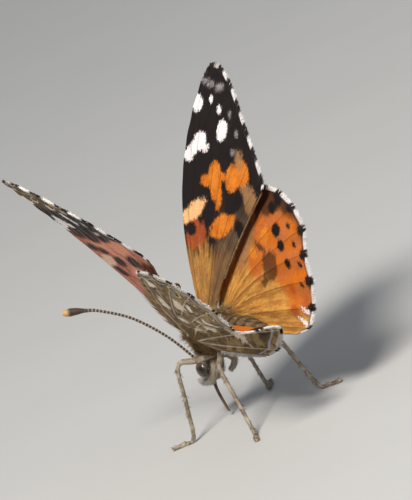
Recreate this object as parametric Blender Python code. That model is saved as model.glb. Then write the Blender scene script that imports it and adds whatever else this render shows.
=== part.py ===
"""A painted lady butterfly at life size, standing with its wings raised in a V.

+X points to the head, +Y to the butterfly's left and +Z up, in metres.
The feet stand on z = 0, and the origin is under the middle of the whole model.
"""

import math

import bmesh
import bpy
from mathutils import Matrix, Vector

MM = 0.001
GAP = 0.3 * MM

# Driving sizes of the species
FOREWING_LENGTH = 30.0 * MM
WING_RAISE = {1.0: math.radians(65.0), -1.0: math.radians(62.0)}
WING_TWIST = {1.0: math.radians(13.0), -1.0: math.radians(-2.5)}
TWIST_FADE = 6.0 * MM
BODY_PITCH = math.radians(30.0)
ROOT_HEIGHT = 12.6 * MM
ROOT_HALF_SPREAD = 1.7 * MM
BODY_SHIFT = (2.515 * MM, 0.5675 * MM)

# Wing plates
WING_THICKNESS = 0.5 * MM
EDGE_THICKNESS = 0.3 * MM
VEIN_HEIGHT = 0.14 * MM
VEIN_HALF_WIDTH = 0.26 * MM
FOREWING_BASE_ANGLE = math.radians(38.0)
FOREWING_SWEEP = {1.0: math.radians(37.5), -1.0: math.radians(44.0)}
HINDWING_SWEEP = {1.0: math.radians(31.0), -1.0: math.radians(31.0)}
HINDWING_SCALE = 0.91
FOLD_HALF_SPAN = 1.3 * MM

# Body
THORAX_RADII = (3.75 * MM, 2.4 * MM, 2.85 * MM)
THORAX_BELOW_ROOT = 2.0 * MM
HEAD_RADII = (1.35 * MM, 1.3 * MM, 1.45 * MM)
HEAD_AHEAD = 4.75 * MM
HEAD_BELOW = 1.85 * MM
EYE_RADIUS = 1.05 * MM
ABDOMEN_LENGTH = 11.0 * MM
ABDOMEN_RADIUS = 1.62 * MM
ABDOMEN_RISE = math.radians(-1.0)
ABDOMEN_DROOP = math.radians(24.0)
LEG_RADIUS = 0.42 * MM
FOOT_RADIUS = 0.3 * MM

ROOT = Vector((*BODY_SHIFT, ROOT_HEIGHT))
FORWARD = Vector((math.cos(BODY_PITCH), 0.0, -math.sin(BODY_PITCH)))
UPWARD = Vector((math.sin(BODY_PITCH), 0.0, math.cos(BODY_PITCH)))
SIDES = (("left", 1.0), ("right", -1.0))

# From an antenna's foot to its tip, and how far its middle arches out of that line, in mm
ANTENNA_REACH = {1.0: Vector((8.2, 9.1, 12.6)), -1.0: Vector((12.8, -8.4, 6.6))}
ANTENNA_ARCH = {1.0: Vector((-0.2, -4.5, 9.0)), -1.0: Vector((-1.0, 2.0, 4.0))}

COLOURS = {
    "thorax": (0.23, 0.15, 0.08),
    "abdomen": (0.30, 0.20, 0.11),
    "head": (0.20, 0.14, 0.09),
    "eye": (0.10, 0.06, 0.04),
    "palp": (0.50, 0.42, 0.33),
    "proboscis": (0.10, 0.06, 0.04),
    "antenna": (0.07, 0.05, 0.04),
    "forewing": (0.75, 0.28, 0.06),
    "hindwing": (0.70, 0.33, 0.09),
    "leg": (0.45, 0.36, 0.26),
}


def material_for(kind):
    """The one material that all nodes of a kind share."""
    found = bpy.data.materials.get(kind)
    if found:
        return found
    made = bpy.data.materials.new(kind)
    made.use_nodes = True
    shader = made.node_tree.nodes["Principled BSDF"]
    shader.inputs["Base Color"].default_value = (*COLOURS[kind], 1.0)
    shader.inputs["Roughness"].default_value = 0.15 if kind == "eye" else 0.75
    shader.inputs["Metallic"].default_value = 0.0
    return made


def add_node(name, kind, points, faces, smooth=True):
    """A mesh object of its own from points in world metres."""
    mesh = bpy.data.meshes.new(name)
    mesh.from_pydata([tuple(p) for p in points], [], faces)
    mesh.validate()
    shape = bmesh.new()
    shape.from_mesh(mesh)
    bmesh.ops.recalc_face_normals(shape, faces=shape.faces)
    shape.to_mesh(mesh)
    shape.free()
    if smooth:
        mesh.shade_smooth()
    node = bpy.data.objects.new(name, mesh)
    mesh.materials.append(material_for(kind))
    bpy.context.scene.collection.objects.link(node)
    return node


def add_ellipsoid(name, kind, centre, radii, turn, segments=24, rings=14):
    """An ellipsoid whose axes are turned by a rotation matrix."""
    points = [centre + turn @ Vector((radii[0], 0, 0))]
    for ring in range(1, rings):
        polar = math.pi * ring / rings
        for step in range(segments):
            around = 2 * math.pi * step / segments
            local = Vector((
                radii[0] * math.cos(polar),
                radii[1] * math.sin(polar) * math.cos(around),
                radii[2] * math.sin(polar) * math.sin(around),
            ))
            points.append(centre + turn @ local)
    points.append(centre - turn @ Vector((radii[0], 0, 0)))
    last = len(points) - 1
    faces = []
    for step in range(segments):
        after = (step + 1) % segments
        faces.append((0, 1 + step, 1 + after))
        for ring in range(rings - 2):
            a = 1 + ring * segments
            b = a + segments
            faces.append((a + step, b + step, b + after, a + after))
        base = 1 + (rings - 2) * segments
        faces.append((base + step, last, base + after))
    return add_node(name, kind, points, faces)


def smooth_path(stations, steps):
    """Points and radii along a smooth curve through stations of (point, radius)."""
    points = [Vector(p) for p, _ in stations]
    radii = [r for _, r in stations]
    count = len(points)
    path = []
    for i in range(count - 1):
        before = points[max(i - 1, 0)]
        after = points[min(i + 2, count - 1)]
        start_pull = (points[i + 1] - before) / 6
        end_pull = (after - points[i]) / 6
        for step in range(steps):
            t = step / steps
            a = points[i]
            b = points[i] + start_pull
            c = points[i + 1] - end_pull
            d = points[i + 1]
            place = a * (1 - t) ** 3 + b * 3 * t * (1 - t) ** 2 + c * 3 * t * t * (1 - t) + d * t ** 3
            path.append((place, radii[i] * (1 - t) + radii[i + 1] * t))
    path.append((points[-1], radii[-1]))
    return path


def add_tube(name, kind, path, sides=8, floor=None, blunt=0.55):
    """A closed tube along a path of (point, radius), with domed ends."""
    rings = []
    normal = Vector((0, 0, 1))
    if abs((path[1][0] - path[0][0]).normalized().z) > 0.9:
        normal = Vector((1, 0, 0))
    for i, (place, radius) in enumerate(path):
        ahead = path[min(i + 1, len(path) - 1)][0]
        behind = path[max(i - 1, 0)][0]
        along = (ahead - behind).normalized()
        across = along.cross(normal).normalized()
        normal = across.cross(along).normalized()
        ring = []
        for step in range(sides):
            angle = 2 * math.pi * (step + 0.5) / sides
            point = place + (across * math.cos(angle) + normal * math.sin(angle)) * radius
            if floor is not None:
                point.z = max(point.z, floor)
            ring.append(point)
        rings.append(ring)
    points = [p for ring in rings for p in ring]
    faces = []
    for i in range(len(rings) - 1):
        for step in range(sides):
            after = (step + 1) % sides
            faces.append((i * sides + step, i * sides + after, (i + 1) * sides + after, (i + 1) * sides + step))
    for end, inward in ((0, 1), (len(rings) - 1, -1)):
        place, radius = path[end]
        out = (place - path[end + inward][0]).normalized()
        tip = place + out * radius * blunt
        if floor is not None:
            tip.z = max(tip.z, floor)
        points.append(tip)
        for step in range(sides):
            faces.append((end * sides + step, end * sides + (step + 1) % sides, len(points) - 1))
    return add_node(name, kind, points, faces)


def cut_clear(node, cutters):
    """Cuts each cutter from a node and applies the cuts."""
    for cutter in cutters:
        cut = node.modifiers.new("clear", "BOOLEAN")
        cut.operation = "DIFFERENCE"
        cut.solver = "EXACT"
        cut.object = cutter
    graph = bpy.context.evaluated_depsgraph_get()
    mesh = bpy.data.meshes.new_from_object(node.evaluated_get(graph))
    node.modifiers.clear()
    node.data = mesh
    keep_largest(node)


def keep_largest(node):
    """Leaves only the largest closed surface of a node."""
    shape = bmesh.new()
    shape.from_mesh(node.data)
    bmesh.ops.remove_doubles(shape, verts=shape.verts, dist=0.002 * MM)
    bmesh.ops.triangulate(shape, faces=shape.faces)
    pending = set(shape.faces)
    islands = []
    while pending:
        stack = [pending.pop()]
        island = list(stack)
        while stack:
            for edge in stack.pop().edges:
                for face in edge.link_faces:
                    if face in pending:
                        pending.remove(face)
                        island.append(face)
                        stack.append(face)
        islands.append(island)
    islands.sort(key=lambda island: sum(face.calc_area() for face in island))
    for island in islands[:-1]:
        bmesh.ops.delete(shape, geom=island, context="FACES")
    loose = [v for v in shape.verts if not v.link_faces]
    bmesh.ops.delete(shape, geom=loose, context="VERTS")
    shape.to_mesh(node.data)
    shape.free()
    node.data.shade_smooth()


def as_cutter(node):
    """Marks a helper that the build leaves out."""
    node.hide_render = True
    node.display_type = "WIRE"
    return node


def mix(a, b, t):
    return a + (b - a) * t


def bezier(start, middle, end, t):
    """A curve that passes through middle at its halfway point."""
    pull = middle * 2 - (start + end) / 2
    return start * (1 - t) ** 2 + pull * 2 * t * (1 - t) + end * t * t


def column(root, cell, end, t):
    """A vein's line on the flat wing: t 0 at the root, 0.5 at the cell's end, 1 at the margin."""
    return bezier(Vector(root), Vector(cell), Vector(end), t)


# Each row: name, root, halfway point, margin end, where the ridge starts along the line.
# The forewing's points are in mm along its chord from root to apex, and rearward across it.
FOREWING_VEINS = (
    ("costa_edge", (0.0, -0.7), (14.6, -3.9), (28.6, -1.1), None),
    ("radial_first", (0.0, -0.45), (13.6, -2.7), (29.4, -0.5), 0.0),
    ("radial_last", (0.0, -0.2), (14.4, -1.3), (29.9, 0.4), 0.5),
    ("medial_first", (0.0, 0.0), (14.4, 0.4), (29.4, 2.5), 0.5),
    ("medial_second", (0.0, 0.15), (14.0, 2.0), (27.6, 4.9), 0.5),
    ("medial_third", (0.0, 0.3), (13.2, 3.5), (25.0, 7.2), 0.5),
    ("cubital_first", (0.0, 0.45), (12.2, 4.6), (22.2, 9.5), 0.0),
    ("cubital_second", (0.0, 0.65), (9.8, 5.1), (19.4, 11.7), 0.35),
    ("anal_vein", (0.0, 0.9), (8.0, 5.6), (16.5, 13.6), 0.0),
    ("inner_edge", (0.0, 1.3), (6.9, 6.3), (15.2, 13.7), None),
)
FOREWING_CHORD = 30.0

# The hindwing's points are in mm outward from its root, and forward.
HINDWING_VEINS = (
    ("costa_edge", (0.2, 0.9), (7.6, 3.6), (16.4, 1.9), None),
    ("subcostal", (0.2, 0.55), (8.4, 2.2), (18.0, 0.6), 0.0),
    ("radial_sector", (0.2, 0.3), (9.0, 0.4), (20.2, -2.6), 0.3),
    ("medial_first", (0.2, 0.1), (9.2, -1.0), (21.2, -6.2), 0.4),
    ("medial_second", (0.2, -0.1), (9.0, -2.4), (21.0, -9.8), 0.5),
    ("medial_third", (0.2, -0.3), (8.4, -3.9), (19.6, -13.2), 0.4),
    ("cubital_first", (0.2, -0.5), (7.5, -4.8), (16.9, -14.8), 0.0),
    ("cubital_second", (0.2, -0.7), (6.2, -5.9), (13.9, -16.5), 0.3),
    ("anal_first", (0.2, -0.95), (4.4, -7.1), (10.5, -17.3), 0.0),
    ("anal_second", (0.2, -1.2), (2.7, -7.5), (7.0, -16.6), 0.0),
    ("inner_edge", (0.2, -1.6), (1.6, -7.3), (5.4, -15.3), None),
)
ROWS = (0.0, 0.09, 0.19, 0.3, 0.4, 0.46, 0.5, 0.54, 0.64, 0.75, 0.86, 0.95, 1.0)
CELL_ROW = 0.5
CELL_VEINS = ("radial_last", "medial_first", "medial_second", "medial_third", "cubital_first")


def wing_grid(veins, scallop):
    """Columns of (flat point, ridge share, row) for a wing, three for each vein."""
    lines = []
    count = len(veins)
    for i, (name, root, cell, end, start) in enumerate(veins):
        line = [column(root, cell, end, t) for t in ROWS]
        if start is None:
            lines.append([(p, 0.0) for p in line])
            continue
        before = [column(*veins[i - 1][1:4], t) for t in ROWS]
        after = [column(*veins[i + 1][1:4], t) for t in ROWS]
        flank_before = []
        crest = []
        flank_after = []
        for k, t in enumerate(ROWS):
            here = line[k]
            raised = 1.0 if t >= start else 0.0
            cell_bar = 1.0 if t == CELL_ROW and name in CELL_VEINS else 0.0
            for other, flank in ((before[k], flank_before), (after[k], flank_after)):
                away = other - here
                reach = min(VEIN_HALF_WIDTH / MM, 0.3 * away.length)
                place = here + away.normalized() * reach
                flank.append((place, cell_bar))
            crest.append((here, max(raised, cell_bar)))
        if i < count - 1:
            tip, share = crest[-1]
            crest[-1] = (tip + (tip - line[-2]).normalized() * scallop, share)
        lines += [flank_before, crest, flank_after]
    return lines


def add_wing(name, kind, lines, place):
    """A closed plate from flat columns; place turns (flat point, height over the middle) into the world."""
    half = WING_THICKNESS / 2
    rows = len(ROWS)
    points = []
    for side in (1.0, -1.0):
        for line in lines:
            for k, (flat, ridge) in enumerate(line):
                edge = 1.0 if ROWS[k] < 0.9 else (1.0 - ROWS[k]) / 0.1
                base = mix(EDGE_THICKNESS / 2, half, max(0.0, edge))
                height = base + ridge * VEIN_HEIGHT * (1.0 if ROWS[k] < 0.9 else 0.5)
                points.append(place(flat, side * height))
    per_face = len(lines) * rows
    faces = []
    for c in range(len(lines) - 1):
        for k in range(rows - 1):
            a = c * rows + k
            b = a + rows
            quad = (a, b, b + 1, a + 1)
            for face in ((quad[0], quad[1], quad[2]), (quad[0], quad[2], quad[3])):
                faces.append(face)
                faces.append(tuple(per_face + v for v in reversed(face)))
    rim = [c * rows for c in range(len(lines))]
    rim += [(len(lines) - 1) * rows + k for k in range(1, rows)]
    rim += [c * rows + rows - 1 for c in range(len(lines) - 2, -1, -1)]
    rim += [k for k in range(rows - 2, 0, -1)]
    for i, a in enumerate(rim):
        b = rim[(i + 1) % len(rim)]
        faces.append((a, b, per_face + b))
        faces.append((a, per_face + b, per_face + a))
    return add_node(name, kind, points, faces, smooth=False)


def forewing_flat(point, side):
    """Chord coordinates in mm to span and forward distances in metres, swept back for the pose."""
    turn = FOREWING_BASE_ANGLE - FOREWING_SWEEP[side]
    along = point.x * FOREWING_LENGTH / FOREWING_CHORD
    rear = point.y * FOREWING_LENGTH / FOREWING_CHORD
    span = along * math.cos(turn) + rear * math.sin(turn)
    forward = along * math.sin(turn) - rear * math.cos(turn)
    return span, forward


def camber(span):
    """How far a wing arches above its flat plane at a span from the root."""
    share = min(1.0, max(0.0, span / FOREWING_LENGTH))
    return 0.9 * MM * math.sin(math.pi * share) - 0.5 * MM * share ** 2


def twist_lift(ahead, span, side):
    """How far the wing's twist lifts a point that lies ahead of the roots; it fades out at the body."""
    t = min(1.0, max(0.0, span / TWIST_FADE))
    return ahead * math.tan(WING_TWIST[side]) * t * t * (3 - 2 * t)


def forewing_place(side):
    """Puts the forewing on its raised plane, with a light camber."""
    slope = WING_RAISE[side]
    outward = Vector((0.0, side * math.cos(slope), math.sin(slope)))
    upper = Vector((0.0, -side * math.sin(slope), math.cos(slope)))
    root = ROOT + Vector((0.9 * MM, side * ROOT_HALF_SPREAD, 0.0))

    def place(flat, height):
        span, forward = forewing_flat(flat, side)
        lift = camber(span) + twist_lift(root.x + forward - ROOT.x, span, side)
        return root + outward * span + Vector((forward, 0, 0)) + upper * (lift + height)

    return place


def fold_angle(span, side):
    """The hindwing's slope: upright beside the abdomen, easing to the wing's raised plane."""
    t = min(1.0, max(0.0, 0.5 + 0.5 * span / FOLD_HALF_SPAN))
    ease = t * t * (3 - 2 * t)
    return mix(math.radians(91.0), WING_RAISE[side], ease)


def fold_table(longest, step, side):
    """Sideways and upward reach of the folded hindwing for spans on both sides of its root."""
    table = {0: (0.0, 0.0)}
    for way in (1, -1):
        out, up = 0.0, 0.0
        for i in range(1, int(longest / step) + 1):
            angle = fold_angle(way * (i - 0.5) * step, side)
            out += way * step * math.cos(angle)
            up += way * step * math.sin(angle)
            table[way * i] = (out, up)
    return table


FOLD_STEP = 0.1 * MM


def hindwing_place(side):
    """Puts the hindwing below the forewing, its inner part folded down beside the abdomen."""
    root = ROOT + Vector((-1.3 * MM, side * (ROOT_HALF_SPREAD + 0.95 * MM), -0.85 * MM))
    sweep = HINDWING_SWEEP[side]
    fold = fold_table(26.0 * MM, FOLD_STEP, side)

    def place(flat, height):
        span = flat.x * MM * HINDWING_SCALE
        forward = flat.y * MM * HINDWING_SCALE
        turned = span * math.cos(sweep) + forward * math.sin(sweep)
        ahead = -span * math.sin(sweep) + forward * math.cos(sweep)
        low = math.floor(turned / FOLD_STEP)
        share = turned / FOLD_STEP - low
        out = mix(fold[low][0], fold[low + 1][0], share)
        up = mix(fold[low][1], fold[low + 1][1], share)
        angle = fold_angle(turned, side)
        upper = Vector((0.0, -side * math.sin(angle), math.cos(angle)))
        lift = camber(turned) + twist_lift(root.x + ahead - ROOT.x, turned, side)
        return root + Vector((ahead, side * out, up)) + upper * (lift + height)

    return place


def body_point(ahead, across, above):
    """A point given along the body's own pitched axes, from between the wing roots."""
    return ROOT + FORWARD * ahead + Vector((0, across, 0)) + UPWARD * above


def build_body():
    """Thorax, abdomen and head, with a thin gap between them."""
    turn = Matrix.Rotation(BODY_PITCH, 3, "Y")
    centre = body_point(-0.1 * MM, 0.0, -THORAX_BELOW_ROOT)
    thorax = add_ellipsoid("thorax", "thorax", centre, THORAX_RADII, turn, 26, 16)
    grown = tuple(r + GAP for r in THORAX_RADII)
    clear = as_cutter(add_ellipsoid("thorax_clear", "thorax", centre, grown, turn, 30, 18))

    rings = []
    start = body_point(-2.3 * MM, 0.0, -2.5 * MM)
    stations = 16
    place = start.copy()
    for i in range(stations + 1):
        share = i / stations
        slope = ABDOMEN_RISE - ABDOMEN_DROOP * share
        swell = math.sin(math.pi * (0.16 + 0.80 * share)) ** 0.62
        groove = 0.94 if i % 2 else 1.0
        rings.append((place.copy(), ABDOMEN_RADIUS * swell * groove))
        step = ABDOMEN_LENGTH / stations
        place += Vector((-math.cos(slope), 0.0, math.sin(slope))) * step
    abdomen = add_tube("abdomen", "abdomen", rings, sides=16, blunt=0.8)
    cut_clear(abdomen, [clear])

    head_turn = Matrix.Rotation(BODY_PITCH + math.radians(8.0), 3, "Y")
    head_centre = body_point(HEAD_AHEAD, 0.0, -THORAX_BELOW_ROOT - HEAD_BELOW)
    head = add_ellipsoid("head", "head", head_centre, HEAD_RADII, head_turn, 20, 12)
    cut_clear(head, [clear])
    grown = tuple(r + GAP for r in HEAD_RADII)
    head_clear = as_cutter(add_ellipsoid("head_clear", "head", head_centre, grown, head_turn, 24, 14))
    return thorax, clear, head_centre, head_turn, head_clear


def build_head_parts(head_centre, head_turn, head_clear, thorax_clear):
    """Eyes, palps, antennae and the proboscis."""
    for word, side in SIDES:
        centre = head_centre + head_turn @ Vector((0.15 * MM, side * 0.95 * MM, 0.12 * MM))
        radii = (EYE_RADIUS, EYE_RADIUS * 0.86, EYE_RADIUS * 1.08)
        eye = add_ellipsoid("eye_" + word, "eye", centre, radii, head_turn, 18, 12)
        cut_clear(eye, [head_clear, thorax_clear])

        palp_path = smooth_path((
            (head_centre + head_turn @ Vector((0.6 * MM, side * 0.72 * MM, -0.80 * MM)), 0.3 * MM),
            (head_centre + head_turn @ Vector((1.6 * MM, side * 0.78 * MM, -0.78 * MM)), 0.36 * MM),
            (head_centre + head_turn @ Vector((2.5 * MM, side * 0.66 * MM, -0.25 * MM)), 0.32 * MM),
            (head_centre + head_turn @ Vector((3.1 * MM, side * 0.50 * MM, 0.25 * MM)), 0.16 * MM),
        ), 3)
        palp = add_tube("palp_" + word, "palp", palp_path, sides=8)
        cut_clear(palp, [head_clear])

        start = head_centre + head_turn @ Vector((0.55 * MM, side * 0.45 * MM, 0.8 * MM))
        stations = []
        for share, radius in ((0.0, 0.27), (0.25, 0.25), (0.5, 0.25), (0.75, 0.25),
                              (0.86, 0.3), (0.93, 0.5), (0.98, 0.5), (1.0, 0.34)):
            bow = ANTENNA_ARCH[side] * share * (1 - share)
            stations.append((start + (ANTENNA_REACH[side] * share + bow) * MM, radius * MM))
        antenna = add_tube("antenna_" + word, "antenna", smooth_path(stations, 2), sides=8)
        cut_clear(antenna, [head_clear, bpy.data.objects["eye_clear_" + word]])


def add_eye_cutters(head_centre, head_turn):
    """Slightly larger eyes that keep the antennae clear of the real ones."""
    for word, side in SIDES:
        centre = head_centre + head_turn @ Vector((0.15 * MM, side * 0.95 * MM, 0.12 * MM))
        radii = (EYE_RADIUS + GAP, EYE_RADIUS * 0.86 + GAP, EYE_RADIUS * 1.08 + GAP)
        as_cutter(add_ellipsoid("eye_clear_" + word, "eye", centre, radii, head_turn, 18, 12))


def build_proboscis(head_centre, head_turn, head_clear):
    """The feeding tube reaches down from the mouth to just above the floor."""
    mouth = head_centre + head_turn @ Vector((0.75 * MM, 0.0, -1.0 * MM))
    tip_height = 0.75 * MM
    path = smooth_path((
        (mouth, 0.27 * MM),
        (mouth + Vector((0.9, 0.0, -0.95)) * MM, 0.27 * MM),
        (mouth + Vector((1.25, 0.0, -2.1)) * MM, 0.26 * MM),
        (Vector((mouth.x + 1.05 * MM, mouth.y, tip_height + 0.6 * MM)), 0.25 * MM),
        (Vector((mouth.x + 0.85 * MM, mouth.y, tip_height)), 0.22 * MM),
    ), 4)
    tube = add_tube("proboscis", "proboscis", path, sides=8)
    cut_clear(tube, [head_clear])


def build_wings(clear):
    """Four wings, each trimmed to end just off the thorax."""
    fore_lines = wing_grid(FOREWING_VEINS, 0.28)
    hind_lines = wing_grid(HINDWING_VEINS, 0.42)
    for word, side in SIDES:
        fore = add_wing("forewing_" + word, "forewing", fore_lines, forewing_place(side))
        cut_clear(fore, [clear])
        hind = add_wing("hindwing_" + word, "hindwing", hind_lines, hindwing_place(side))
        cut_clear(hind, [clear])


def leg_path(hip, knee, ankle, toe):
    """Femur, tibia and a foot that lies on the floor."""
    low = FOOT_RADIUS * 0.8
    heel = Vector((ankle.x, ankle.y, low + 0.35 * MM))
    mid_foot = mix(heel, Vector((toe.x, toe.y, low)), 0.45)
    mid_foot.z = low
    return smooth_path((
        (hip, LEG_RADIUS),
        (mix(hip, knee, 0.5), LEG_RADIUS * 1.08),
        (knee, LEG_RADIUS * 0.78),
        (mix(knee, heel, 0.5), LEG_RADIUS * 0.7),
        (heel, FOOT_RADIUS),
        (mid_foot, FOOT_RADIUS),
        (Vector((toe.x, toe.y, low)), FOOT_RADIUS),
    ), 3)


def build_legs(clear):
    """Two pairs that stand, and the small forelegs held up against the breast."""
    for word, side in SIDES:
        hip = body_point(1.0 * MM, side * 0.9 * MM, -THORAX_BELOW_ROOT - 1.9 * MM)
        knee = hip + Vector((2.6, side * 3.6, 0.5)) * MM
        ankle = Vector((hip.x + 3.9 * MM, ROOT.y + side * 6.2 * MM, 0.0))
        toe = ankle + Vector((2.0, side * 1.9, 0.0)) * MM
        leg = add_tube("midleg_" + word, "leg", leg_path(hip, knee, ankle, toe), floor=0.0)
        cut_clear(leg, [clear])

        hip = body_point(-1.3 * MM, side * 0.9 * MM, -THORAX_BELOW_ROOT - 2.2 * MM)
        knee = hip + Vector((-3.2, side * 3.4, -1.3)) * MM
        ankle = Vector((hip.x - 5.6 * MM, ROOT.y + side * 5.4 * MM, 0.0))
        toe = ankle + Vector((-2.3, side * 1.5, 0.0)) * MM
        leg = add_tube("hindleg_" + word, "leg", leg_path(hip, knee, ankle, toe), floor=0.0)
        cut_clear(leg, [clear])

        hip = body_point(1.9 * MM, side * 0.75 * MM, -THORAX_BELOW_ROOT - 1.9 * MM)
        path = smooth_path((
            (hip, 0.36 * MM),
            (hip + Vector((-0.25, side * 0.75, -1.25)) * MM, 0.36 * MM),
            (hip + Vector((0.35, side * 0.95, -2.15)) * MM, 0.32 * MM),
            (hip + Vector((1.15, side * 0.85, -2.75)) * MM, 0.25 * MM),
        ), 3)
        leg = add_tube("foreleg_" + word, "leg", path)
        cut_clear(leg, [clear])


def main():
    for old in list(bpy.data.objects):
        bpy.data.objects.remove(old)
    thorax, clear, head_centre, head_turn, head_clear = build_body()
    add_eye_cutters(head_centre, head_turn)
    build_head_parts(head_centre, head_turn, head_clear, clear)
    build_proboscis(head_centre, head_turn, head_clear)
    build_wings(clear)
    build_legs(clear)
    for node in bpy.data.objects:
        if not node.data.materials:
            node.data.materials.append(material_for(node.name.split("_")[0]))


main()
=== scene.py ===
"""A painted lady butterfly at life size: scaled wings, fringes, coat, eyes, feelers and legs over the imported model."""

import math

import bpy
import numpy as np
from mathutils import Matrix, Vector


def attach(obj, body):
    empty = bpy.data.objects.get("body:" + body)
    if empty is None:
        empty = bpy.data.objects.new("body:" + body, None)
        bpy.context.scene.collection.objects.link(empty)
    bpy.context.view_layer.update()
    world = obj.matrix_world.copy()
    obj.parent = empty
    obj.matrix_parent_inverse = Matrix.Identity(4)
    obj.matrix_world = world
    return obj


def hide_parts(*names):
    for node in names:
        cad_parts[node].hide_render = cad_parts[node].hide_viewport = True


MM = 0.001

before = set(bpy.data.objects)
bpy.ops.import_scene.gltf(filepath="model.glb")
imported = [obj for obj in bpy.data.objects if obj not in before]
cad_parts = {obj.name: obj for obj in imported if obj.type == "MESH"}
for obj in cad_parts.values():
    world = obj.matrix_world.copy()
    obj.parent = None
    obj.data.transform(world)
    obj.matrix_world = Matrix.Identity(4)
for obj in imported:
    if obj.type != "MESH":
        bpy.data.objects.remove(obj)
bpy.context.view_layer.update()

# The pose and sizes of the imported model
ROOT = np.array([2.515, 0.5675, 12.6])
BODY_PITCH = math.radians(30.0)
FORWARD = np.array([math.cos(BODY_PITCH), 0.0, -math.sin(BODY_PITCH)])
UPWARD = np.array([math.sin(BODY_PITCH), 0.0, math.cos(BODY_PITCH)])
SIDES = (("left", 1.0), ("right", -1.0))
WING_RAISE = {1.0: math.radians(65.0), -1.0: math.radians(62.0)}
WING_TWIST = {1.0: math.radians(13.0), -1.0: math.radians(-2.5)}
TWIST_FADE = 6.0
ROOT_HALF_SPREAD = 1.7
FOREWING_LENGTH = 30.0
FOREWING_BASE_ANGLE = math.radians(38.0)
FOREWING_SWEEP = {1.0: math.radians(37.5), -1.0: math.radians(44.0)}
HINDWING_SWEEP = {1.0: math.radians(31.0), -1.0: math.radians(31.0)}
HINDWING_SCALE = 0.91
FOLD_HALF_SPAN = 1.3
THORAX_CENTRE = (-0.1, 0.0, -2.0)
THORAX_RADII = (3.75, 2.4, 2.85)
HEAD_CENTRE = (4.75, 0.0, -3.85)
HEAD_RADII = (1.35, 1.3, 1.45)
EYE_RADII = (1.05, 0.9, 1.13)
ABDOMEN_LENGTH = 11.0
ABDOMEN_RADIUS = 1.62
ABDOMEN_RISE = math.radians(-1.0)
ABDOMEN_DROOP = math.radians(24.0)
RINGS = 16.0
# The muscle bumps that carry the fore- and hindwing: place along the body and radii
WING_SEATS = (
    ((0.75, 1.5, -0.2), (1.5, 0.65, 0.75)),
    ((-0.9, 2.05, -1.4), (1.5, 0.6, 0.85)),
)
LEG_RADIUS = 0.42
FOOT_RADIUS = 0.3
ANTENNA_REACH = {1.0: (8.2, 9.1, 12.6), -1.0: (12.8, -8.4, 6.6)}
ANTENNA_ARCH = {1.0: (-0.2, -4.5, 9.0), -1.0: (-1.0, 2.0, 4.0)}

# Each row: root, halfway point and margin end of a vein's line on the flat wing, in mm
FOREWING_VEINS = (
    ((0.0, -0.7), (14.6, -3.9), (28.6, -1.1)),
    ((0.0, -0.45), (13.6, -2.7), (29.4, -0.5)),
    ((0.0, -0.2), (14.4, -1.3), (29.9, 0.4)),
    ((0.0, 0.0), (14.4, 0.4), (29.4, 2.5)),
    ((0.0, 0.15), (14.0, 2.0), (27.6, 4.9)),
    ((0.0, 0.3), (13.2, 3.5), (25.0, 7.2)),
    ((0.0, 0.45), (12.2, 4.6), (22.2, 9.5)),
    ((0.0, 0.65), (9.8, 5.1), (19.4, 11.7)),
    ((0.0, 0.9), (8.0, 5.6), (16.5, 13.6)),
    ((0.0, 1.3), (6.9, 6.3), (15.2, 13.7)),
)
HINDWING_VEINS = (
    ((0.2, 0.9), (7.6, 3.6), (16.4, 1.9)),
    ((0.2, 0.55), (8.4, 2.2), (18.0, 0.6)),
    ((0.2, 0.3), (9.0, 0.4), (20.2, -2.6)),
    ((0.2, 0.1), (9.2, -1.0), (21.2, -6.2)),
    ((0.2, -0.1), (9.0, -2.4), (21.0, -9.8)),
    ((0.2, -0.3), (8.4, -3.9), (19.6, -13.2)),
    ((0.2, -0.5), (7.5, -4.8), (16.9, -14.8)),
    ((0.2, -0.7), (6.2, -5.9), (13.9, -16.5)),
    ((0.2, -0.95), (4.4, -7.1), (10.5, -17.3)),
    ((0.2, -1.2), (2.7, -7.5), (7.0, -16.6)),
    ((0.2, -1.6), (1.6, -7.3), (5.4, -15.3)),
)
# Where each vein's ridge starts along its line; None has no ridge
FOREWING_STARTS = (None, 0.0, 0.5, 0.5, 0.5, 0.5, 0.0, 0.35, 0.0, None)
HINDWING_STARTS = (None, 0.0, 0.3, 0.4, 0.5, 0.4, 0.0, 0.3, 0.0, 0.0, None)

# Wing membrane
MEMBRANE_HALF = 0.09
GAP_COLUMNS = 12
WING_ROWS = 96
VEIN_RISE = 0.07
VEIN_WIDTH = 0.16
PLEAT_DEPTH = 0.07
COSTA_SWELL = 0.42
MAP_SPAN = 40.0
MAP_OFFSET = (2.0, 20.0)

# Marks on the wings: centre, half sizes and tilt in degrees, on the flat wing in mm
WHITE_FORE = (
    (19.0, -3.1, 0.85, 1.0, 0),
    (19.8, -1.9, 0.8, 1.0, 0),
    (20.6, -0.7, 1.15, 1.35, 0),
    (19.8, 0.6, 0.5, 0.7, 20),
    (25.05, -2.0, 1.05, 1.05, 0),
    (25.55, 1.05, 0.5, 0.55, 0),
    (24.35, 3.05, 0.5, 0.6, 0),
    (21.9, 4.1, 1.25, 1.1, 0),
)
GREY_FORE = (
    (27.7, -0.6, 0.3, 0.7, 0),
    (27.3, 0.5, 0.3, 0.7, 0),
    (26.95, 2.7, 0.4, 0.75, 0),
    (19.4, 6.9, 0.35, 0.4, 0),
    (21.5, 7.3, 0.35, 0.35, 0),
    (23.8, 5.6, 0.35, 0.4, 0),
)
ORANGE_FORE = (
    (16.4, 3.1, 1.8, 1.6, 0),
    (16.0, 1.2, 0.7, 1.3, 0),
    (14.5, 3.5, 1.9, 1.1, 10),
    (16.4, 4.9, 0.5, 0.9, 0),
    (16.3, 7.0, 1.7, 1.5, 0),
    (16.9, 8.9, 1.6, 1.7, 0),
    (10.8, 4.8, 1.25, 3.0, 22),
)
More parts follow.
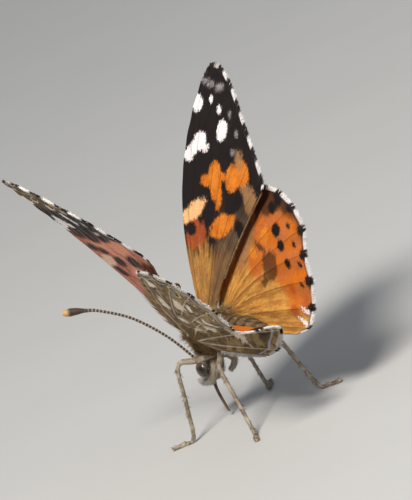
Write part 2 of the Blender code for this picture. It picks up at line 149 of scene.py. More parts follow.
TAN_FORE = (
    (18.4, 8.3, 1.1, 0.8, 0),
    (13.8, 11.0, 1.6, 1.3, 0),
    (14.8, 9.8, 1.0, 0.8, 0),
)
CREAM_FORE = (
    (12.5, -1.3, 1.0, 2.5, 22),
    (11.6, -3.3, 0.9, 1.0, 0),
)
BLACK_FORE = (
    (10.2, -2.2, 0.8, 1.1, 0),
    (8.9, 2.3, 0.4, 0.9, 0),
    (12.7, 1.9, 0.8, 1.6, 24),
    (13.4, 7.3, 1.1, 2.2, 26),
    (10.2, 8.9, 1.8, 0.9, 42),
)
RED_FORE = (
    (9.0, -1.9, 1.2, 1.7, 0),
    (10.1, -1.5, 1.5, 1.5, 0),
    (9.8, 0.2, 1.1, 0.9, 0),
)
ORANGE_HIND = (
    (14.5, -6.0, 3.4, 3.2, 0),
    (14.8, -10.0, 4.7, 4.4, 0),
    (12.6, -13.6, 4.2, 2.8, 0),
    (10.3, -4.8, 1.8, 2.0, 0),
    (17.2, -7.5, 2.2, 2.8, 0),
)
BLACK_HIND = (
    (16.5, -7.6, 1.0, 0.85, 0),
    (15.2, -9.3, 0.75, 0.8, 0),
    (13.8, -11.6, 0.65, 0.65, 0),
    (16.6, -11.9, 0.4, 0.4, 0),
    (18.2, -9.9, 0.4, 0.5, 0),
    (14.9, -14.0, 0.4, 0.45, 0),
    (12.4, -14.9, 0.35, 0.4, 0),
    (18.7, -5.7, 0.9, 0.8, 0),
    (20.2, -6.5, 0.9, 0.8, 0),
)
DARK_HIND = (
    (18.9, -4.3, 1.9, 1.5, 0),
    (19.7, -6.3, 1.1, 1.1, 0),
    (20.3, -8.3, 0.8, 0.8, 0),
    (11.5, -7.9, 2.0, 1.7, 0),
    (12.7, -5.0, 0.35, 1.6, 5),
    (9.3, -7.4, 1.6, 0.5, 30),
)
TAN_HIND = (
    (13.0, -1.0, 5.0, 2.0, -5),
    (19.0, -5.6, 0.7, 0.5, 0),
)
WHITE_HIND = (
    (9.3, -16.4, 0.4, 1.2, 0),
    (7.2, -15.6, 0.4, 1.2, 10),
)
RED_HIND = (
    (8.2, -13.8, 0.8, 0.8, 0),
    (10.9, -12.9, 0.6, 0.6, 0),
    (10.0, -16.0, 1.4, 0.9, 0),
)
CREAM_HIND = (
    (11.3, -3.8, 0.7, 0.8, 0),
    (14.6, -5.4, 1.2, 0.9, 0),
)
# The underside
EYESPOTS_HIND = (
    (17.9, -5.4, 1.25),
    (17.6, -8.2, 0.75),
    (16.3, -10.8, 0.8),
    (13.2, -13.0, 1.35),
    (10.4, -14.3, 0.6),
)
EYESPOTS_FORE = (
    (25.7, 1.3, 0.55),
    (24.3, 3.5, 0.45),
)
UNDER_HIND = (
    (9.5, 0.6, 1.3, 0.9, 0),
    (12.6, -3.6, 1.5, 1.0, 20),
    (9.4, -6.6, 1.2, 1.3, 0),
    (11.8, -9.0, 0.9, 1.6, 30),
    (8.0, -10.3, 0.8, 1.5, 15),
    (5.2, -4.6, 1.0, 0.8, 0),
    (6.0, -1.0, 0.9, 0.7, 0),
    (15.3, 0.2, 1.0, 0.8, 0),
    (5.4, -9.2, 0.6, 1.5, 10),
    (14.2, -6.2, 0.8, 0.7, 0),
    (3.4, -2.2, 0.7, 0.5, 0),
)
UNDER_FORE = (
    (10.2, -1.8, 0.95, 1.5, 0),
    (12.8, 2.2, 0.9, 2.0, 24),
    (8.6, 2.2, 0.5, 1.0, 0),
    (14.9, -2.0, 0.8, 1.7, 15),
    (17.6, -1.2, 0.8, 2.2, 10),
    (17.8, 2.5, 1.3, 2.2, 10),
    (18.6, 6.5, 1.2, 2.2, 0),
    (13.6, 7.4, 1.1, 2.0, 26),
    (14.6, 0.6, 0.8, 1.3, 15),
)


def smoothstep(low, high, value):
    t = np.clip((value - low) / (high - low), 0.0, 1.0)
    return t * t * (3 - 2 * t)


def body_point(ahead, across, above):
    """A point in mm given along the body's own pitched axes, from between the wing roots."""
    return ROOT + FORWARD * ahead + np.array([0.0, across, 0.0]) + UPWARD * above


def pitch_matrix(more=0.0):
    """The body's pitch as a 3 by 3 array."""
    return np.array(Matrix.Rotation(BODY_PITCH + math.radians(more), 3, "Y"))


# Meshes

def new_piece(name, points, faces, smooth=True):
    """A mesh object from points in mm and faces, with its place in its mesh."""
    mesh = bpy.data.meshes.new(name)
    mesh.from_pydata((np.asarray(points) * MM).tolist(), [], [tuple(map(int, f)) for f in faces])
    mesh.update()
    if smooth:
        mesh.shade_smooth()
    piece = bpy.data.objects.new(name, mesh)
    bpy.context.scene.collection.objects.link(piece)
    return piece


def settle(piece, slot, *nodes):
    """Rides a finished piece on the one body and hides the imported nodes it stands for; its slot is not used."""
    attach(piece, "root")
    if nodes:
        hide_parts(*nodes)
    return piece


def set_float(mesh, name, values, domain="POINT"):
    attribute = mesh.attributes.new(name, "FLOAT", domain)
    attribute.data.foreach_set("value", np.asarray(values, np.float32).ravel())


def set_vector(mesh, name, values):
    attribute = mesh.attributes.new(name, "FLOAT_VECTOR", "POINT")
    attribute.data.foreach_set("vector", np.asarray(values, np.float32).ravel())


def smooth_path(stations, steps):
    """Points and radii along a smooth curve through stations of (point, radius)."""
    points = np.array([s[0] for s in stations], float)
    radii = np.array([s[1] for s in stations], float)
    path = []
    last = len(points) - 1
    for i in range(last):
        a, d = points[i], points[i + 1]
        b = a + (d - points[max(i - 1, 0)]) / 6
        c = d - (points[min(i + 2, last)] - a) / 6
        for step in range(steps):
            t = step / steps
            place = a * (1 - t) ** 3 + 3 * b * t * (1 - t) ** 2 + 3 * c * t * t * (1 - t) + d * t ** 3
            path.append((place, radii[i] * (1 - t) + radii[i + 1] * t))
    path.append((points[-1], radii[-1]))
    return path


def tube_shell(path, sides, floor=None, blunt=0.7, dome=3):
    """Points, faces and the share along the path of a closed tube with domed ends, in mm."""
    places = np.array([p for p, _ in path])
    radii = np.array([r for _, r in path])
    tangents = np.gradient(places, axis=0)
    tangents /= np.linalg.norm(tangents, axis=1)[:, None]
    steps = np.linalg.norm(np.diff(places, axis=0), axis=1)
    along = np.concatenate([[0.0], np.cumsum(steps)])
    along /= along[-1]
    rings = []
    for k in range(dome, 0, -1):
        polar = 0.5 * math.pi * k / (dome + 0.35)
        shift = tangents[0] * radii[0] * blunt * math.sin(polar)
        rings.append((places[0] - shift, radii[0] * math.cos(polar), tangents[0], 0.0))
    for place, radius, tangent, share in zip(places, radii, tangents, along):
        rings.append((place, radius, tangent, share))
    for k in range(1, dome + 1):
        polar = 0.5 * math.pi * k / (dome + 0.35)
        shift = tangents[-1] * radii[-1] * blunt * math.sin(polar)
        rings.append((places[-1] + shift, radii[-1] * math.cos(polar), tangents[-1], 1.0))
    normal = np.array([0.0, 0.0, 1.0])
    if abs(tangents[0][2]) > 0.9:
        normal = np.array([1.0, 0.0, 0.0])
    turns = 2 * np.pi * (np.arange(sides) + 0.5) / sides
    points, shares = [], []
    for place, radius, tangent, share in rings:
        across = np.cross(tangent, normal)
        across /= np.linalg.norm(across)
        normal = np.cross(across, tangent)
        ring = place + radius * (np.outer(np.cos(turns), across) + np.outer(np.sin(turns), normal))
        points.append(ring)
        shares += [share] * sides
    points = np.concatenate(points)
    count = len(rings)
    faces = []
    for i in range(count - 1):
        for s in range(sides):
            after = (s + 1) % sides
            faces.append((i * sides + s, i * sides + after, (i + 1) * sides + after, (i + 1) * sides + s))
    tips = [rings[0][0] - tangents[0] * radii[0] * blunt * 0.06, rings[-1][0] + tangents[-1] * radii[-1] * blunt * 0.06]
    first = len(points)
    points = np.concatenate([points, tips])
    shares += [0.0, 1.0]
    for s in range(sides):
        after = (s + 1) % sides
        faces.append((first, after, s))
        faces.append((first + 1, (count - 1) * sides + s, (count - 1) * sides + after))
    if floor is not None:
        points[:, 2] = np.maximum(points[:, 2], floor)
    return points, faces, np.array(shares)


def face_outwards(piece):
    """Turns a closed mesh so that its faces point outwards."""
    mesh = piece.data
    mesh.calc_loop_triangles()
    co = np.empty(len(mesh.vertices) * 3, np.float32)
    mesh.vertices.foreach_get("co", co)
    corners = np.empty(len(mesh.loop_triangles) * 3, np.int32)
    mesh.loop_triangles.foreach_get("vertices", corners)
    triangles = co.reshape(-1, 3)[corners.reshape(-1, 3)].astype(float)
    if np.linalg.det(triangles).sum() < 0:
        mesh.flip_normals()


def add_tube(name, path, sides=20, floor=None, blunt=0.7):
    """A tube piece whose attribute along runs from 0 to 1."""
    points, faces, shares = tube_shell(path, sides, floor, blunt)
    piece = new_piece(name, points, faces)
    face_outwards(piece)
    set_float(piece.data, "along", shares)
    return piece


def ellipsoid_shell(centre, radii, turn, segments=64, rings=40):
    """Points and faces of an ellipsoid whose poles lie on its own side axis."""
    polar = np.pi * np.arange(1, rings) / rings
    around = 2 * np.pi * np.arange(segments) / segments
    p, a = np.meshgrid(polar, around, indexing="ij")
    local = np.stack([np.sin(p) * np.cos(a), np.cos(p), np.sin(p) * np.sin(a)], axis=-1).reshape(-1, 3)
    local = np.concatenate([[[0.0, 1.0, 0.0]], local, [[0.0, -1.0, 0.0]]])
    points = (local * radii) @ turn.T + centre
    last = len(points) - 1
    faces = []
    for s in range(segments):
        after = (s + 1) % segments
        faces.append((0, 1 + s, 1 + after))
        for r in range(rings - 2):
            a = 1 + r * segments
            b = a + segments
            faces.append((a + s, b + s, b + after, a + after))
        base = 1 + (rings - 2) * segments
        faces.append((base + s, last, base + after))
    return points, faces


# Wings

def vein_line(vein, t):
    """Flat points along a vein for shares t; it passes through its halfway point at 0.5."""
    root, middle, end = (np.array(p) for p in vein)
    pull = middle * 2 - (root + end) / 2
    t = np.asarray(t)[:, None]
    return root * (1 - t) ** 2 + pull * 2 * t * (1 - t) + end * t * t


def flat_wing(kind):
    """The flat wing as a grid of columns across the veins and rows out to the margin, with its vein shares."""
    facts = WINGS[kind]
    veins, starts, scallop = facts["veins"], facts["starts"], facts["scallop"]
    t = np.linspace(0.0, 1.0, WING_ROWS + 1) ** 0.92
    lines = np.array([vein_line(v, t) for v in veins])
    count = len(veins)
    columns, vein_near, vein_away, gap_share = [], [], [], []
    for i in range(count - 1):
        before = lines[max(i - 1, 0)]
        after = lines[min(i + 2, count - 1)]
        a, b = lines[i], lines[i + 1]
        c1 = a + (b - before) / 6
        c2 = b - (after - a) / 6
        width = np.linalg.norm(b - a, axis=1)
        for k in range(GAP_COLUMNS + (i == count - 2)):
            f = 0.5 - 0.5 * math.cos(math.pi * k / GAP_COLUMNS)
            columns.append(a * (1 - f) ** 3 + 3 * c1 * f * (1 - f) ** 2 + 3 * c2 * f * f * (1 - f) + b * f ** 3)
            near = np.zeros(len(t))
            for share, start in ((f, starts[i]), (1 - f, starts[i + 1])):
                if start is None:
                    continue
                ridge = np.exp(-(share * width / (VEIN_WIDTH * (1.25 - 0.75 * t))) ** 2)
                near = np.maximum(near, ridge * smoothstep(start - 0.02, start + 0.02, t))
            vein_near.append(near)
            vein_away.append(min(f, 1 - f) * width)
            gap_share.append(f)
    flat = np.array(columns)
    gap_share = np.array(gap_share)
    outward = np.gradient(flat, axis=1)
    outward /= np.linalg.norm(outward, axis=2)[:, :, None]
    lobe = (1 - 4 * gap_share * (1 - gap_share)) * scallop
    lobe[:GAP_COLUMNS // 2] = scallop * 0.3
    lobe[-GAP_COLUMNS // 2:] = scallop * 0.3
    tail = smoothstep(-2.2 * GAP_COLUMNS, -0.2 * GAP_COLUMNS, np.arange(len(flat)) - len(flat))
    reach = (lobe - facts["inset"] - facts["tail"] * tail ** 2)[:, None] * smoothstep(0.72, 1.0, t)[None, :] ** 2
    flat = flat + outward * reach[:, :, None]
    first = slice(0, GAP_COLUMNS)
    flat[first, :, 1] -= facts["swell"] * np.outer(1 - gap_share[first], np.sin(np.pi * t) ** 0.5)
    return flat, np.array(vein_near), np.array(vein_away), gap_share, t


def camber(span):
    share = np.clip(span / FOREWING_LENGTH, 0.0, 1.0)
    return 0.9 * np.sin(np.pi * share) - 0.5 * share ** 2


def twist_lift(ahead, span, side):
    return ahead * math.tan(WING_TWIST[side]) * smoothstep(0.0, TWIST_FADE, span)


def place_forewing(flat, height, side):
    """World points in mm for flat forewing points at a height over the middle of the wing."""
    turn = FOREWING_BASE_ANGLE - FOREWING_SWEEP[side]
    span = flat[..., 0] * math.cos(turn) + flat[..., 1] * math.sin(turn)
    forward = flat[..., 0] * math.sin(turn) - flat[..., 1] * math.cos(turn)
    slope = WING_RAISE[side]
    outward = np.array([0.0, side * math.cos(slope), math.sin(slope)])
    upper = np.array([0.0, -side * math.sin(slope), math.cos(slope)])
    lift = camber(span) + twist_lift(0.9 + forward, span, side) + height
    root = ROOT + np.array([0.9, side * ROOT_HALF_SPREAD, 0.0])
    return root + span[..., None] * outward + forward[..., None] * np.array([1.0, 0.0, 0.0]) + lift[..., None] * upper


def fold_angle(span, side):
    ease = smoothstep(-FOLD_HALF_SPAN, FOLD_HALF_SPAN, span)
    upright = math.radians(91.0)
    return upright + (WING_RAISE[side] - upright) * ease


def place_hindwing(flat, height, side):
    """World points in mm for flat hindwing points; the inner part folds down beside the abdomen."""
    sweep = HINDWING_SWEEP[side]
    span = flat[..., 0] * HINDWING_SCALE
    forward = flat[..., 1] * HINDWING_SCALE
    turned = span * math.cos(sweep) + forward * math.sin(sweep)
    ahead = -span * math.sin(sweep) + forward * math.cos(sweep)
    step = 0.1
    middles = (np.arange(-300, 300) + 0.5) * step
    angles = fold_angle(middles, side)
    ends = np.arange(-300, 301) * step
    out = np.concatenate([[0.0], np.cumsum(np.cos(angles) * step)])
    up = np.concatenate([[0.0], np.cumsum(np.sin(angles) * step)])
    out = np.interp(turned, ends, out - out[300])
    up = np.interp(turned, ends, up - up[300])
    angle = fold_angle(turned, side)
    root = ROOT + np.array([-1.3, side * (ROOT_HALF_SPREAD + 0.95), -0.85])
    lift = camber(turned) + twist_lift(-1.3 + ahead, turned, side) + height
    x = root[0] + ahead
    y = root[1] + side * out - side * np.sin(angle) * lift
    z = root[2] + up + np.cos(angle) * lift
    return np.stack([x, y, z], axis=-1)


def mark(flat, rows):
    """How deep each flat point lies inside the nearest of a set of oval marks, in mm."""
    best = np.full(flat.shape[:-1], -9.0)
    for cx, cy, rx, ry, tilt in rows:
        turn = math.radians(tilt)
        dx = flat[..., 0] - cx
        dy = flat[..., 1] - cy
        across = dx * math.cos(turn) - dy * math.sin(turn)
        along = dx * math.sin(turn) + dy * math.cos(turn)
        reach = np.sqrt((across / rx) ** 2 + (along / ry) ** 2)
        best = np.maximum(best, (1.0 - reach) * min(rx, ry))
    return best


def eyespots(flat, rows):
    """Distance from the nearest eyespot's centre in shares of its radius."""
    best = np.full(flat.shape[:-1], 4.0)
    for cx, cy, radius in rows:
        best = np.minimum(best, np.hypot(flat[..., 0] - cx, flat[..., 1] - cy) / radius)
    return best


WINGS = {
    "forewing": {
        "veins": FOREWING_VEINS, "starts": FOREWING_STARTS, "place": place_forewing,
        "scallop": 0.12, "inset": 0.5, "fringe": 0.62, "swell": COSTA_SWELL, "blots": 0.55, "tail": 0.0,
        "teeth": 0.78, "dark_tip": 4.5,
        "white": WHITE_FORE, "grey": GREY_FORE, "orange": ORANGE_FORE, "cream": CREAM_FORE, "tan": TAN_FORE,
        "black": BLACK_FORE, "red": RED_FORE, "spots": EYESPOTS_FORE, "under": UNDER_FORE,
    },
    "hindwing": {
        "veins": HINDWING_VEINS, "starts": HINDWING_STARTS, "place": place_hindwing,
        "scallop": 0.3, "inset": 0.48, "fringe": 0.7, "swell": 0.0, "blots": 0.72, "tail": 1.0,
        "teeth": 0.5, "dark_tip": 0.5,
        "white": WHITE_HIND, "grey": DARK_HIND, "orange": ORANGE_HIND, "cream": CREAM_HIND, "tan": TAN_HIND,
        "black": BLACK_HIND, "red": RED_HIND, "spots": EYESPOTS_HIND, "under": UNDER_HIND,
    },
}


MARK_NAMES = ("white", "grey", "orange", "cream", "tan", "black", "red", "under")


def margin_distance(flat):
    """Roughly how far each grid point lies inside the outer margin, in mm."""
    steps = np.linalg.norm(np.diff(flat, axis=1), axis=2)
    ahead = np.cumsum(steps[:, ::-1], axis=1)[:, ::-1]
    return np.concatenate([ahead, np.zeros((len(flat), 1))], axis=1)


def build_wing(kind, word, side, upper_finish, under_finish):
    """One closed wing membrane with its marks as attributes."""
    facts = WINGS[kind]
    flat, near, away, gap, t = flat_wing(kind)
    rim = np.ones(flat.shape[:2])
    rim[:, -1] = 0.35
    rim[0] = rim[-1] = 0.5
    pleat = PLEAT_DEPTH * np.cos(2 * np.pi * gap)[:, None] * smoothstep(0.15, 0.9, t)[None, :]
    ripple = 0.05 * np.sin(flat[..., 0] * 1.7 + flat[..., 1] * 0.9) * smoothstep(0.3, 1.0, t)[None, :]
    middle = pleat + ripple
    thick = MEMBRANE_HALF * rim + VEIN_RISE * near * (1 - 0.6 * t)[None, :]
    top = facts["place"](flat, middle + thick, side)
    bottom = facts["place"](flat, middle - thick, side)
    columns, rows = flat.shape[:2]
    count = columns * rows
    index = np.arange(count).reshape(columns, rows)
    a, b = index[:-1, :-1].ravel(), index[1:, :-1].ravel()
    c, d = index[1:, 1:].ravel(), index[:-1, 1:].ravel()
    upper = np.stack([a, b, c, d], axis=1)
    under = np.stack([d, c, b, a], axis=1) + count
    loop = np.concatenate([index[:, 0], index[-1, 1:], index[-2::-1, -1], index[0, -2:0:-1]])
    after = np.roll(loop, -1)
    edge = np.stack([loop, loop + count, after + count, after], axis=1)
    faces = np.concatenate([upper, under, edge])
    piece = new_piece(kind + "_" + word + "_scaled", np.concatenate([top.reshape(-1, 3), bottom.reshape(-1, 3)]), faces)
    mesh = piece.data
    mesh.materials.append(upper_finish)
    mesh.materials.append(under_finish)
    which = np.concatenate([np.zeros(len(upper)), np.ones(len(under)), np.zeros(len(edge))]).astype(np.int32)
    mesh.polygons.foreach_set("material_index", which)
    face_outwards(piece)
    edge_depth = margin_distance(flat)
    marks = {name: mark(flat, facts[name]) for name in MARK_NAMES}
    blots = facts["blots"] - np.hypot(away, edge_depth * 0.7)
    blots[:GAP_COLUMNS // 2] = -9.0
    blots[-3 * GAP_COLUMNS // 2:] = -9.0
    marks["black"] = np.maximum(marks["black"], blots)
    for name, depth in marks.items():
        set_float(mesh, name, np.tile(depth.ravel(), 2))
    set_float(mesh, "spot", np.tile(eyespots(flat, facts["spots"]).ravel(), 2))
    set_float(mesh, "vein", np.tile(near.ravel(), 2))
    set_float(mesh, "edge", np.tile(edge_depth.ravel(), 2))
    gaps = len(facts["veins"]) - 1
    fan = (np.minimum(np.arange(columns) // GAP_COLUMNS, gaps - 1) + gap) / gaps
    set_float(mesh, "fan", np.tile(np.repeat(fan, rows), 2))
    set_float(mesh, "reach", np.tile(np.tile(t, columns), 2))
    chart = mesh.uv_layers.new(name="wing_chart")
    corner_point = np.empty(len(mesh.loops), np.int32)
    mesh.loops.foreach_get("vertex_index", corner_point)
    chart.data.foreach_set("uv", chart_uv(flat).reshape(-1, 2)[corner_point % count].astype(np.float32).ravel())
    return settle(piece, kind, kind + "_" + word)


def chart_uv(flat):
    """The flat wing's place on its chart, from 0 to 1."""
    return (flat + np.array(MAP_OFFSET)) / MAP_SPAN


# Strands of coat and fringe

def strand_shape():
    """One tapered strand of unit length and unit width, as a helper object."""
    levels = ((0.0, 0.42), (0.35, 0.5), (0.72, 0.34))
    points, faces = [], []
    for height, radius in levels:
        for corner in range(3):
            turn = 2 * math.pi * corner / 3
            points.append((radius * math.cos(turn), radius * math.sin(turn), height))
    points.append((0.0, 0.0, 1.0))
    for level in range(2):
        for corner in range(3):
            after = (corner + 1) % 3
            low, high = level * 3, level * 3 + 3
            faces.append((low + corner, low + after, high + after, high + corner))
    for corner in range(3):
        faces.append((6 + corner, 6 + (corner + 1) % 3, 9))
    faces.append((2, 1, 0))
    mesh = bpy.data.meshes.new("strand")
    mesh.from_pydata(points, [], faces)
    patch = mesh.uv_layers.new(name="patch")
    for corner in mesh.loops:
        place = mesh.vertices[corner.vertex_index].co
        patch.data[corner.index].uv = (0.5 + 0.5 * place.y, place.z)
    mesh.shade_smooth()
    strand = bpy.data.objects.new("strand", mesh)
    bpy.context.scene.collection.objects.link(strand)
    return strand


def coat_tree():
    """Geometry Nodes: a strand on each root, laid along its lie and bent down to the surface."""
    tree = bpy.data.node_groups.new("coat strands on roots", "GeometryNodeTree")
    sockets = (
        ("Roots", "NodeSocketGeometry"), ("Strand", "NodeSocketObject"), ("Strand Width", "NodeSocketFloat"),
        ("Curl", "NodeSocketFloat"), ("Patch Size", "NodeSocketFloat"), ("Seed", "NodeSocketInt"),
        ("Finish", "NodeSocketMaterial"),
    )
    for name, kind in sockets:
        tree.interface.new_socket(name, in_out="INPUT", socket_type=kind)
    tree.interface.new_socket("Coat", in_out="OUTPUT", socket_type="NodeSocketGeometry")
    link = tree.links.new

    def node(kind, **settings):
        made = tree.nodes.new(kind)
        for key, value in settings.items():
            setattr(made, key, value)
        return made

    def named(name, kind):
        found = node("GeometryNodeInputNamedAttribute", data_type=kind)
        found.inputs["Name"].default_value = name
        return found.outputs["Attribute"]

    given = node("NodeGroupInput")
    strand = node("GeometryNodeObjectInfo", transform_space="ORIGINAL")
    link(given.outputs["Strand"], strand.inputs["Object"])
    along = node("FunctionNodeAlignRotationToVector", axis="Z")
    link(named("lie", "FLOAT_VECTOR"), along.inputs["Vector"])
    down = node("FunctionNodeAlignRotationToVector", axis="X", pivot_axis="Z")
    link(along.outputs["Rotation"], down.inputs["Rotation"])
    link(named("down", "FLOAT_VECTOR"), down.inputs["Vector"])
    vary = node("FunctionNodeRandomValue", data_type="FLOAT")
    vary.inputs["Min"].default_value = 0.72
    vary.inputs["Max"].default_value = 1.18
    link(given.outputs["Seed"], vary.inputs["Seed"])
    length = node("ShaderNodeMath", operation="MULTIPLY")
    link(named("length", "FLOAT"), length.inputs[0])
    link(vary.outputs[1], length.inputs[1])
    size = node("ShaderNodeCombineXYZ")
    link(given.outputs["Strand Width"], size.inputs["X"])
    link(given.outputs["Strand Width"], size.inputs["Y"])
    link(length.outputs[0], size.inputs["Z"])
    # The bend is a curve of the strand's own X over its height, before the strand is placed
    place = node("GeometryNodeInputPosition")
    parts = node("ShaderNodeSeparateXYZ")
    link(place.outputs["Position"], parts.inputs[0])
    square = node("ShaderNodeMath", operation="MULTIPLY")
    link(parts.outputs["Z"], square.inputs[0])
    link(parts.outputs["Z"], square.inputs[1])
    bend = node("ShaderNodeMath", operation="MULTIPLY")
    link(square.outputs[0], bend.inputs[0])
    link(given.outputs["Curl"], bend.inputs[1])
    shift = node("ShaderNodeCombineXYZ")
    link(bend.outputs[0], shift.inputs["X"])
    bent = node("GeometryNodeSetPosition")
    link(strand.outputs["Geometry"], bent.inputs["Geometry"])
    link(shift.outputs[0], bent.inputs["Offset"])
    planted = node("GeometryNodeInstanceOnPoints")
    link(given.outputs["Roots"], planted.inputs["Points"])
    link(bent.outputs["Geometry"], planted.inputs["Instance"])
    link(down.outputs["Rotation"], planted.inputs["Rotation"])
    link(size.outputs[0], planted.inputs["Scale"])
    real = node("GeometryNodeRealizeInstances")
    link(planted.outputs["Instances"], real.inputs["Geometry"])
    small = node("ShaderNodeVectorMath", operation="SCALE")
    link(named("patch", "FLOAT_VECTOR"), small.inputs[0])
    link(given.outputs["Patch Size"], small.inputs["Scale"])
    chart = node("ShaderNodeVectorMath", operation="ADD")
    link(small.outputs[0], chart.inputs[0])
    link(named("root_chart", "FLOAT_VECTOR"), chart.inputs[1])
    store = node("GeometryNodeStoreNamedAttribute", data_type="FLOAT2", domain="CORNER")
    store.inputs["Name"].default_value = "OFBake"
    link(real.outputs["Geometry"], store.inputs["Geometry"])
    link(chart.outputs[0], store.inputs["Value"])
    finish = node("GeometryNodeSetMaterial")
    link(store.outputs["Geometry"], finish.inputs["Geometry"])
    link(given.outputs["Finish"], finish.inputs["Material"])
    out = node("NodeGroupOutput")
    link(finish.outputs["Geometry"], out.inputs["Coat"])
    return tree


STRAND = strand_shape()
COAT_TREE = coat_tree()
PATCH_SIZE = 0.003
FRINGE_STEP = 0.045
LEFT_OVER = ("patch", "root_chart", "lie", "down", "length")


def grow_coat(name, roots, finish, slot, width, curl=0.3, seed=1):
    """One coat piece from its roots: a dictionary of arrays, points in mm."""
    mesh = bpy.data.meshes.new(name + "_roots")
    mesh.from_pydata((roots["points"] * MM).tolist(), [], [])
    set_vector(mesh, "lie", roots["lie"])
    set_vector(mesh, "down", roots["down"])
    set_float(mesh, "length", roots["length"] * MM)
    set_float(mesh, "tone", roots["tone"])
    set_vector(mesh, "root_chart", np.concatenate([roots["chart"], np.zeros((len(roots["chart"]), 1))], axis=1))
    source = bpy.data.objects.new(name + "_roots", mesh)
    bpy.context.scene.collection.objects.link(source)
    modifier = source.modifiers.new("coat", "NODES")
    modifier.node_group = COAT_TREE
    values = {
        "Strand": STRAND, "Strand Width": width * MM, "Curl": curl / width,
        "Patch Size": PATCH_SIZE, "Seed": seed, "Finish": finish,
    }
    for socket in COAT_TREE.interface.items_tree:
        if socket.name in values and socket.in_out == "INPUT":
            modifier[socket.identifier] = values[socket.name]
    bpy.context.view_layer.update()
    graph = bpy.context.evaluated_depsgraph_get()
    plain = bpy.data.meshes.new_from_object(source.evaluated_get(graph))
    bpy.data.objects.remove(source)
    for extra in LEFT_OVER:
        if extra in plain.attributes:
            plain.attributes.remove(plain.attributes[extra])
    plain.name = name
    plain.shade_smooth()
    piece = bpy.data.objects.new(name, plain)
    bpy.context.scene.collection.objects.link(piece)
    return settle(piece, slot)


def unit(vectors):
    return vectors / np.maximum(np.linalg.norm(vectors, axis=-1, keepdims=True), 1e-9)


def lying(normals, flow, rise):
    """Directions that follow the flow over a surface and lift off it by a share."""
    flat = flow - normals * np.sum(flow * normals, axis=-1, keepdims=True)
    return unit(unit(flat) + normals * np.asarray(rise)[..., None])


def fringe_roots(kind, side, rng, margin):
    """Roots of the fringe along the outer margin, dark at the vein ends, or along the inner margin."""
    facts = WINGS[kind]
    flat, near, away, gap, t = flat_wing(kind)
    outer = margin == "outer"
    edge, inner = (flat[:, -1], flat[:, -4]) if outer else (flat[-1, 30:], flat[-5, 30:])
    shares = gap if outer else np.full(len(edge), 0.5)
    steps = np.linalg.norm(np.diff(edge, axis=0), axis=1)
    along = np.concatenate([[0.0], np.cumsum(steps)])
    count = int(along[-1] / FRINGE_STEP)
    where = np.repeat(np.linspace(0.0, along[-1], count), 3) + rng.uniform(-0.03, 0.03, count * 3)
    layer = np.tile(np.array([-1.0, 0.0, 1.0]), count)
    point = np.stack([np.interp(where, along, edge[:, k]) for k in (0, 1)], axis=1)
    back = np.stack([np.interp(where, along, inner[:, k]) for k in (0, 1)], axis=1)
    at_gap = np.interp(where, along, shares)
    out = unit(point - back)
    start = point - out * 0.12
    height = layer * 0.04
    begin = facts["place"](start, height, side)
    target = facts["place"](start + out * 0.6, height * 1.6, side)
    above = facts["place"](start, height + 0.5, side)
    lean = rng.normal(0.0, 0.1, (len(where), 3))
    between = 4 * at_gap * (1 - at_gap)
    pale = smoothstep(facts["teeth"] - 0.1, facts["teeth"] + 0.1, between + rng.normal(0, 0.05, len(where)))
    pale = pale * smoothstep(0.3 * facts["dark_tip"], facts["dark_tip"], where)
    if not outer:
        pale = rng.uniform(0.35, 0.85, len(where))
    trim = 1.0 if outer or kind == "hindwing" else 0.5
    return {
        "points": begin, "lie": unit(unit(target - begin) + lean), "down": unit(begin - above),
        "length": trim * facts["fringe"] * (0.8 + 0.25 * between) * rng.uniform(0.8, 1.12, len(where)),
        "tone": pale, "chart": chart_uv(start),
    }


def base_hair_roots(kind, side, rng, count, upper):
    """Flat-lying hairs that fan out from the wing's base over one face."""
    facts = WINGS[kind]
    flat, near, away, gap, t = flat_wing(kind)
    columns = len(flat)
    fore = kind == "forewing"
    reach = 0.20 if fore else 0.42
    share = rng.random(count) ** 1.3 * reach
    column = rng.uniform(2, columns - 2, count)
    if not fore:
        column = (columns - 2) * (1 - rng.random(count) ** 1.4)
    c = np.clip(column.astype(int), 1, columns - 3)
    r = np.minimum(np.searchsorted(t, share), len(t) - 8)
    mixed = column - column.astype(int)
    here = flat[c, r] * (1 - mixed)[:, None] + flat[c + 1, r] * mixed[:, None]
    ahead = flat[c, r + 4] * (1 - mixed)[:, None] + flat[c + 1, r + 4] * mixed[:, None]
    way = 1.0 if upper else -1.0
    begin = facts["place"](here, np.full(count, way * 0.08), side)
    target = facts["place"](ahead, np.full(count, way * 0.08), side)
    above = facts["place"](here, np.full(count, way * 0.6), side)
    normal = unit(above - begin)
    flow = unit(target - begin) + rng.normal(0, 0.09, (count, 3))
    begin = begin - unit(target - begin) * np.where(share < 0.06, 0.6, 0.0)[:, None]
    fade = 1.0 - 0.5 * share / reach
    return {
        "points": begin, "lie": lying(normal, flow, rng.uniform(0.02, 0.14, count)), "down": -normal,
        "length": rng.uniform(1.1, 2.5, count) * fade, "tone": rng.uniform(0.0, 0.8, count),
        "chart": chart_uv(here),
    }


# Body

def abdomen_path(slack):
    """Centre line and radii of the abdomen."""
    place = body_point(-2.3, 0.0, -2.5)
    stations = 44
    path = []
    for i in range(stations + 1):
        share = i / stations
        slope = ABDOMEN_RISE - ABDOMEN_DROOP * share
        swell = math.sin(math.pi * (0.16 + 0.80 * share)) ** 0.62
        segment = 1.0 - 0.045 * (0.5 + 0.5 * math.cos(2 * math.pi * share * 8.0)) ** 3
        path.append((place.copy(), ABDOMEN_RADIUS * swell * segment - slack))
        place = place + np.array([-math.cos(slope), 0.0, math.sin(slope)]) * ABDOMEN_LENGTH / stations
    return path


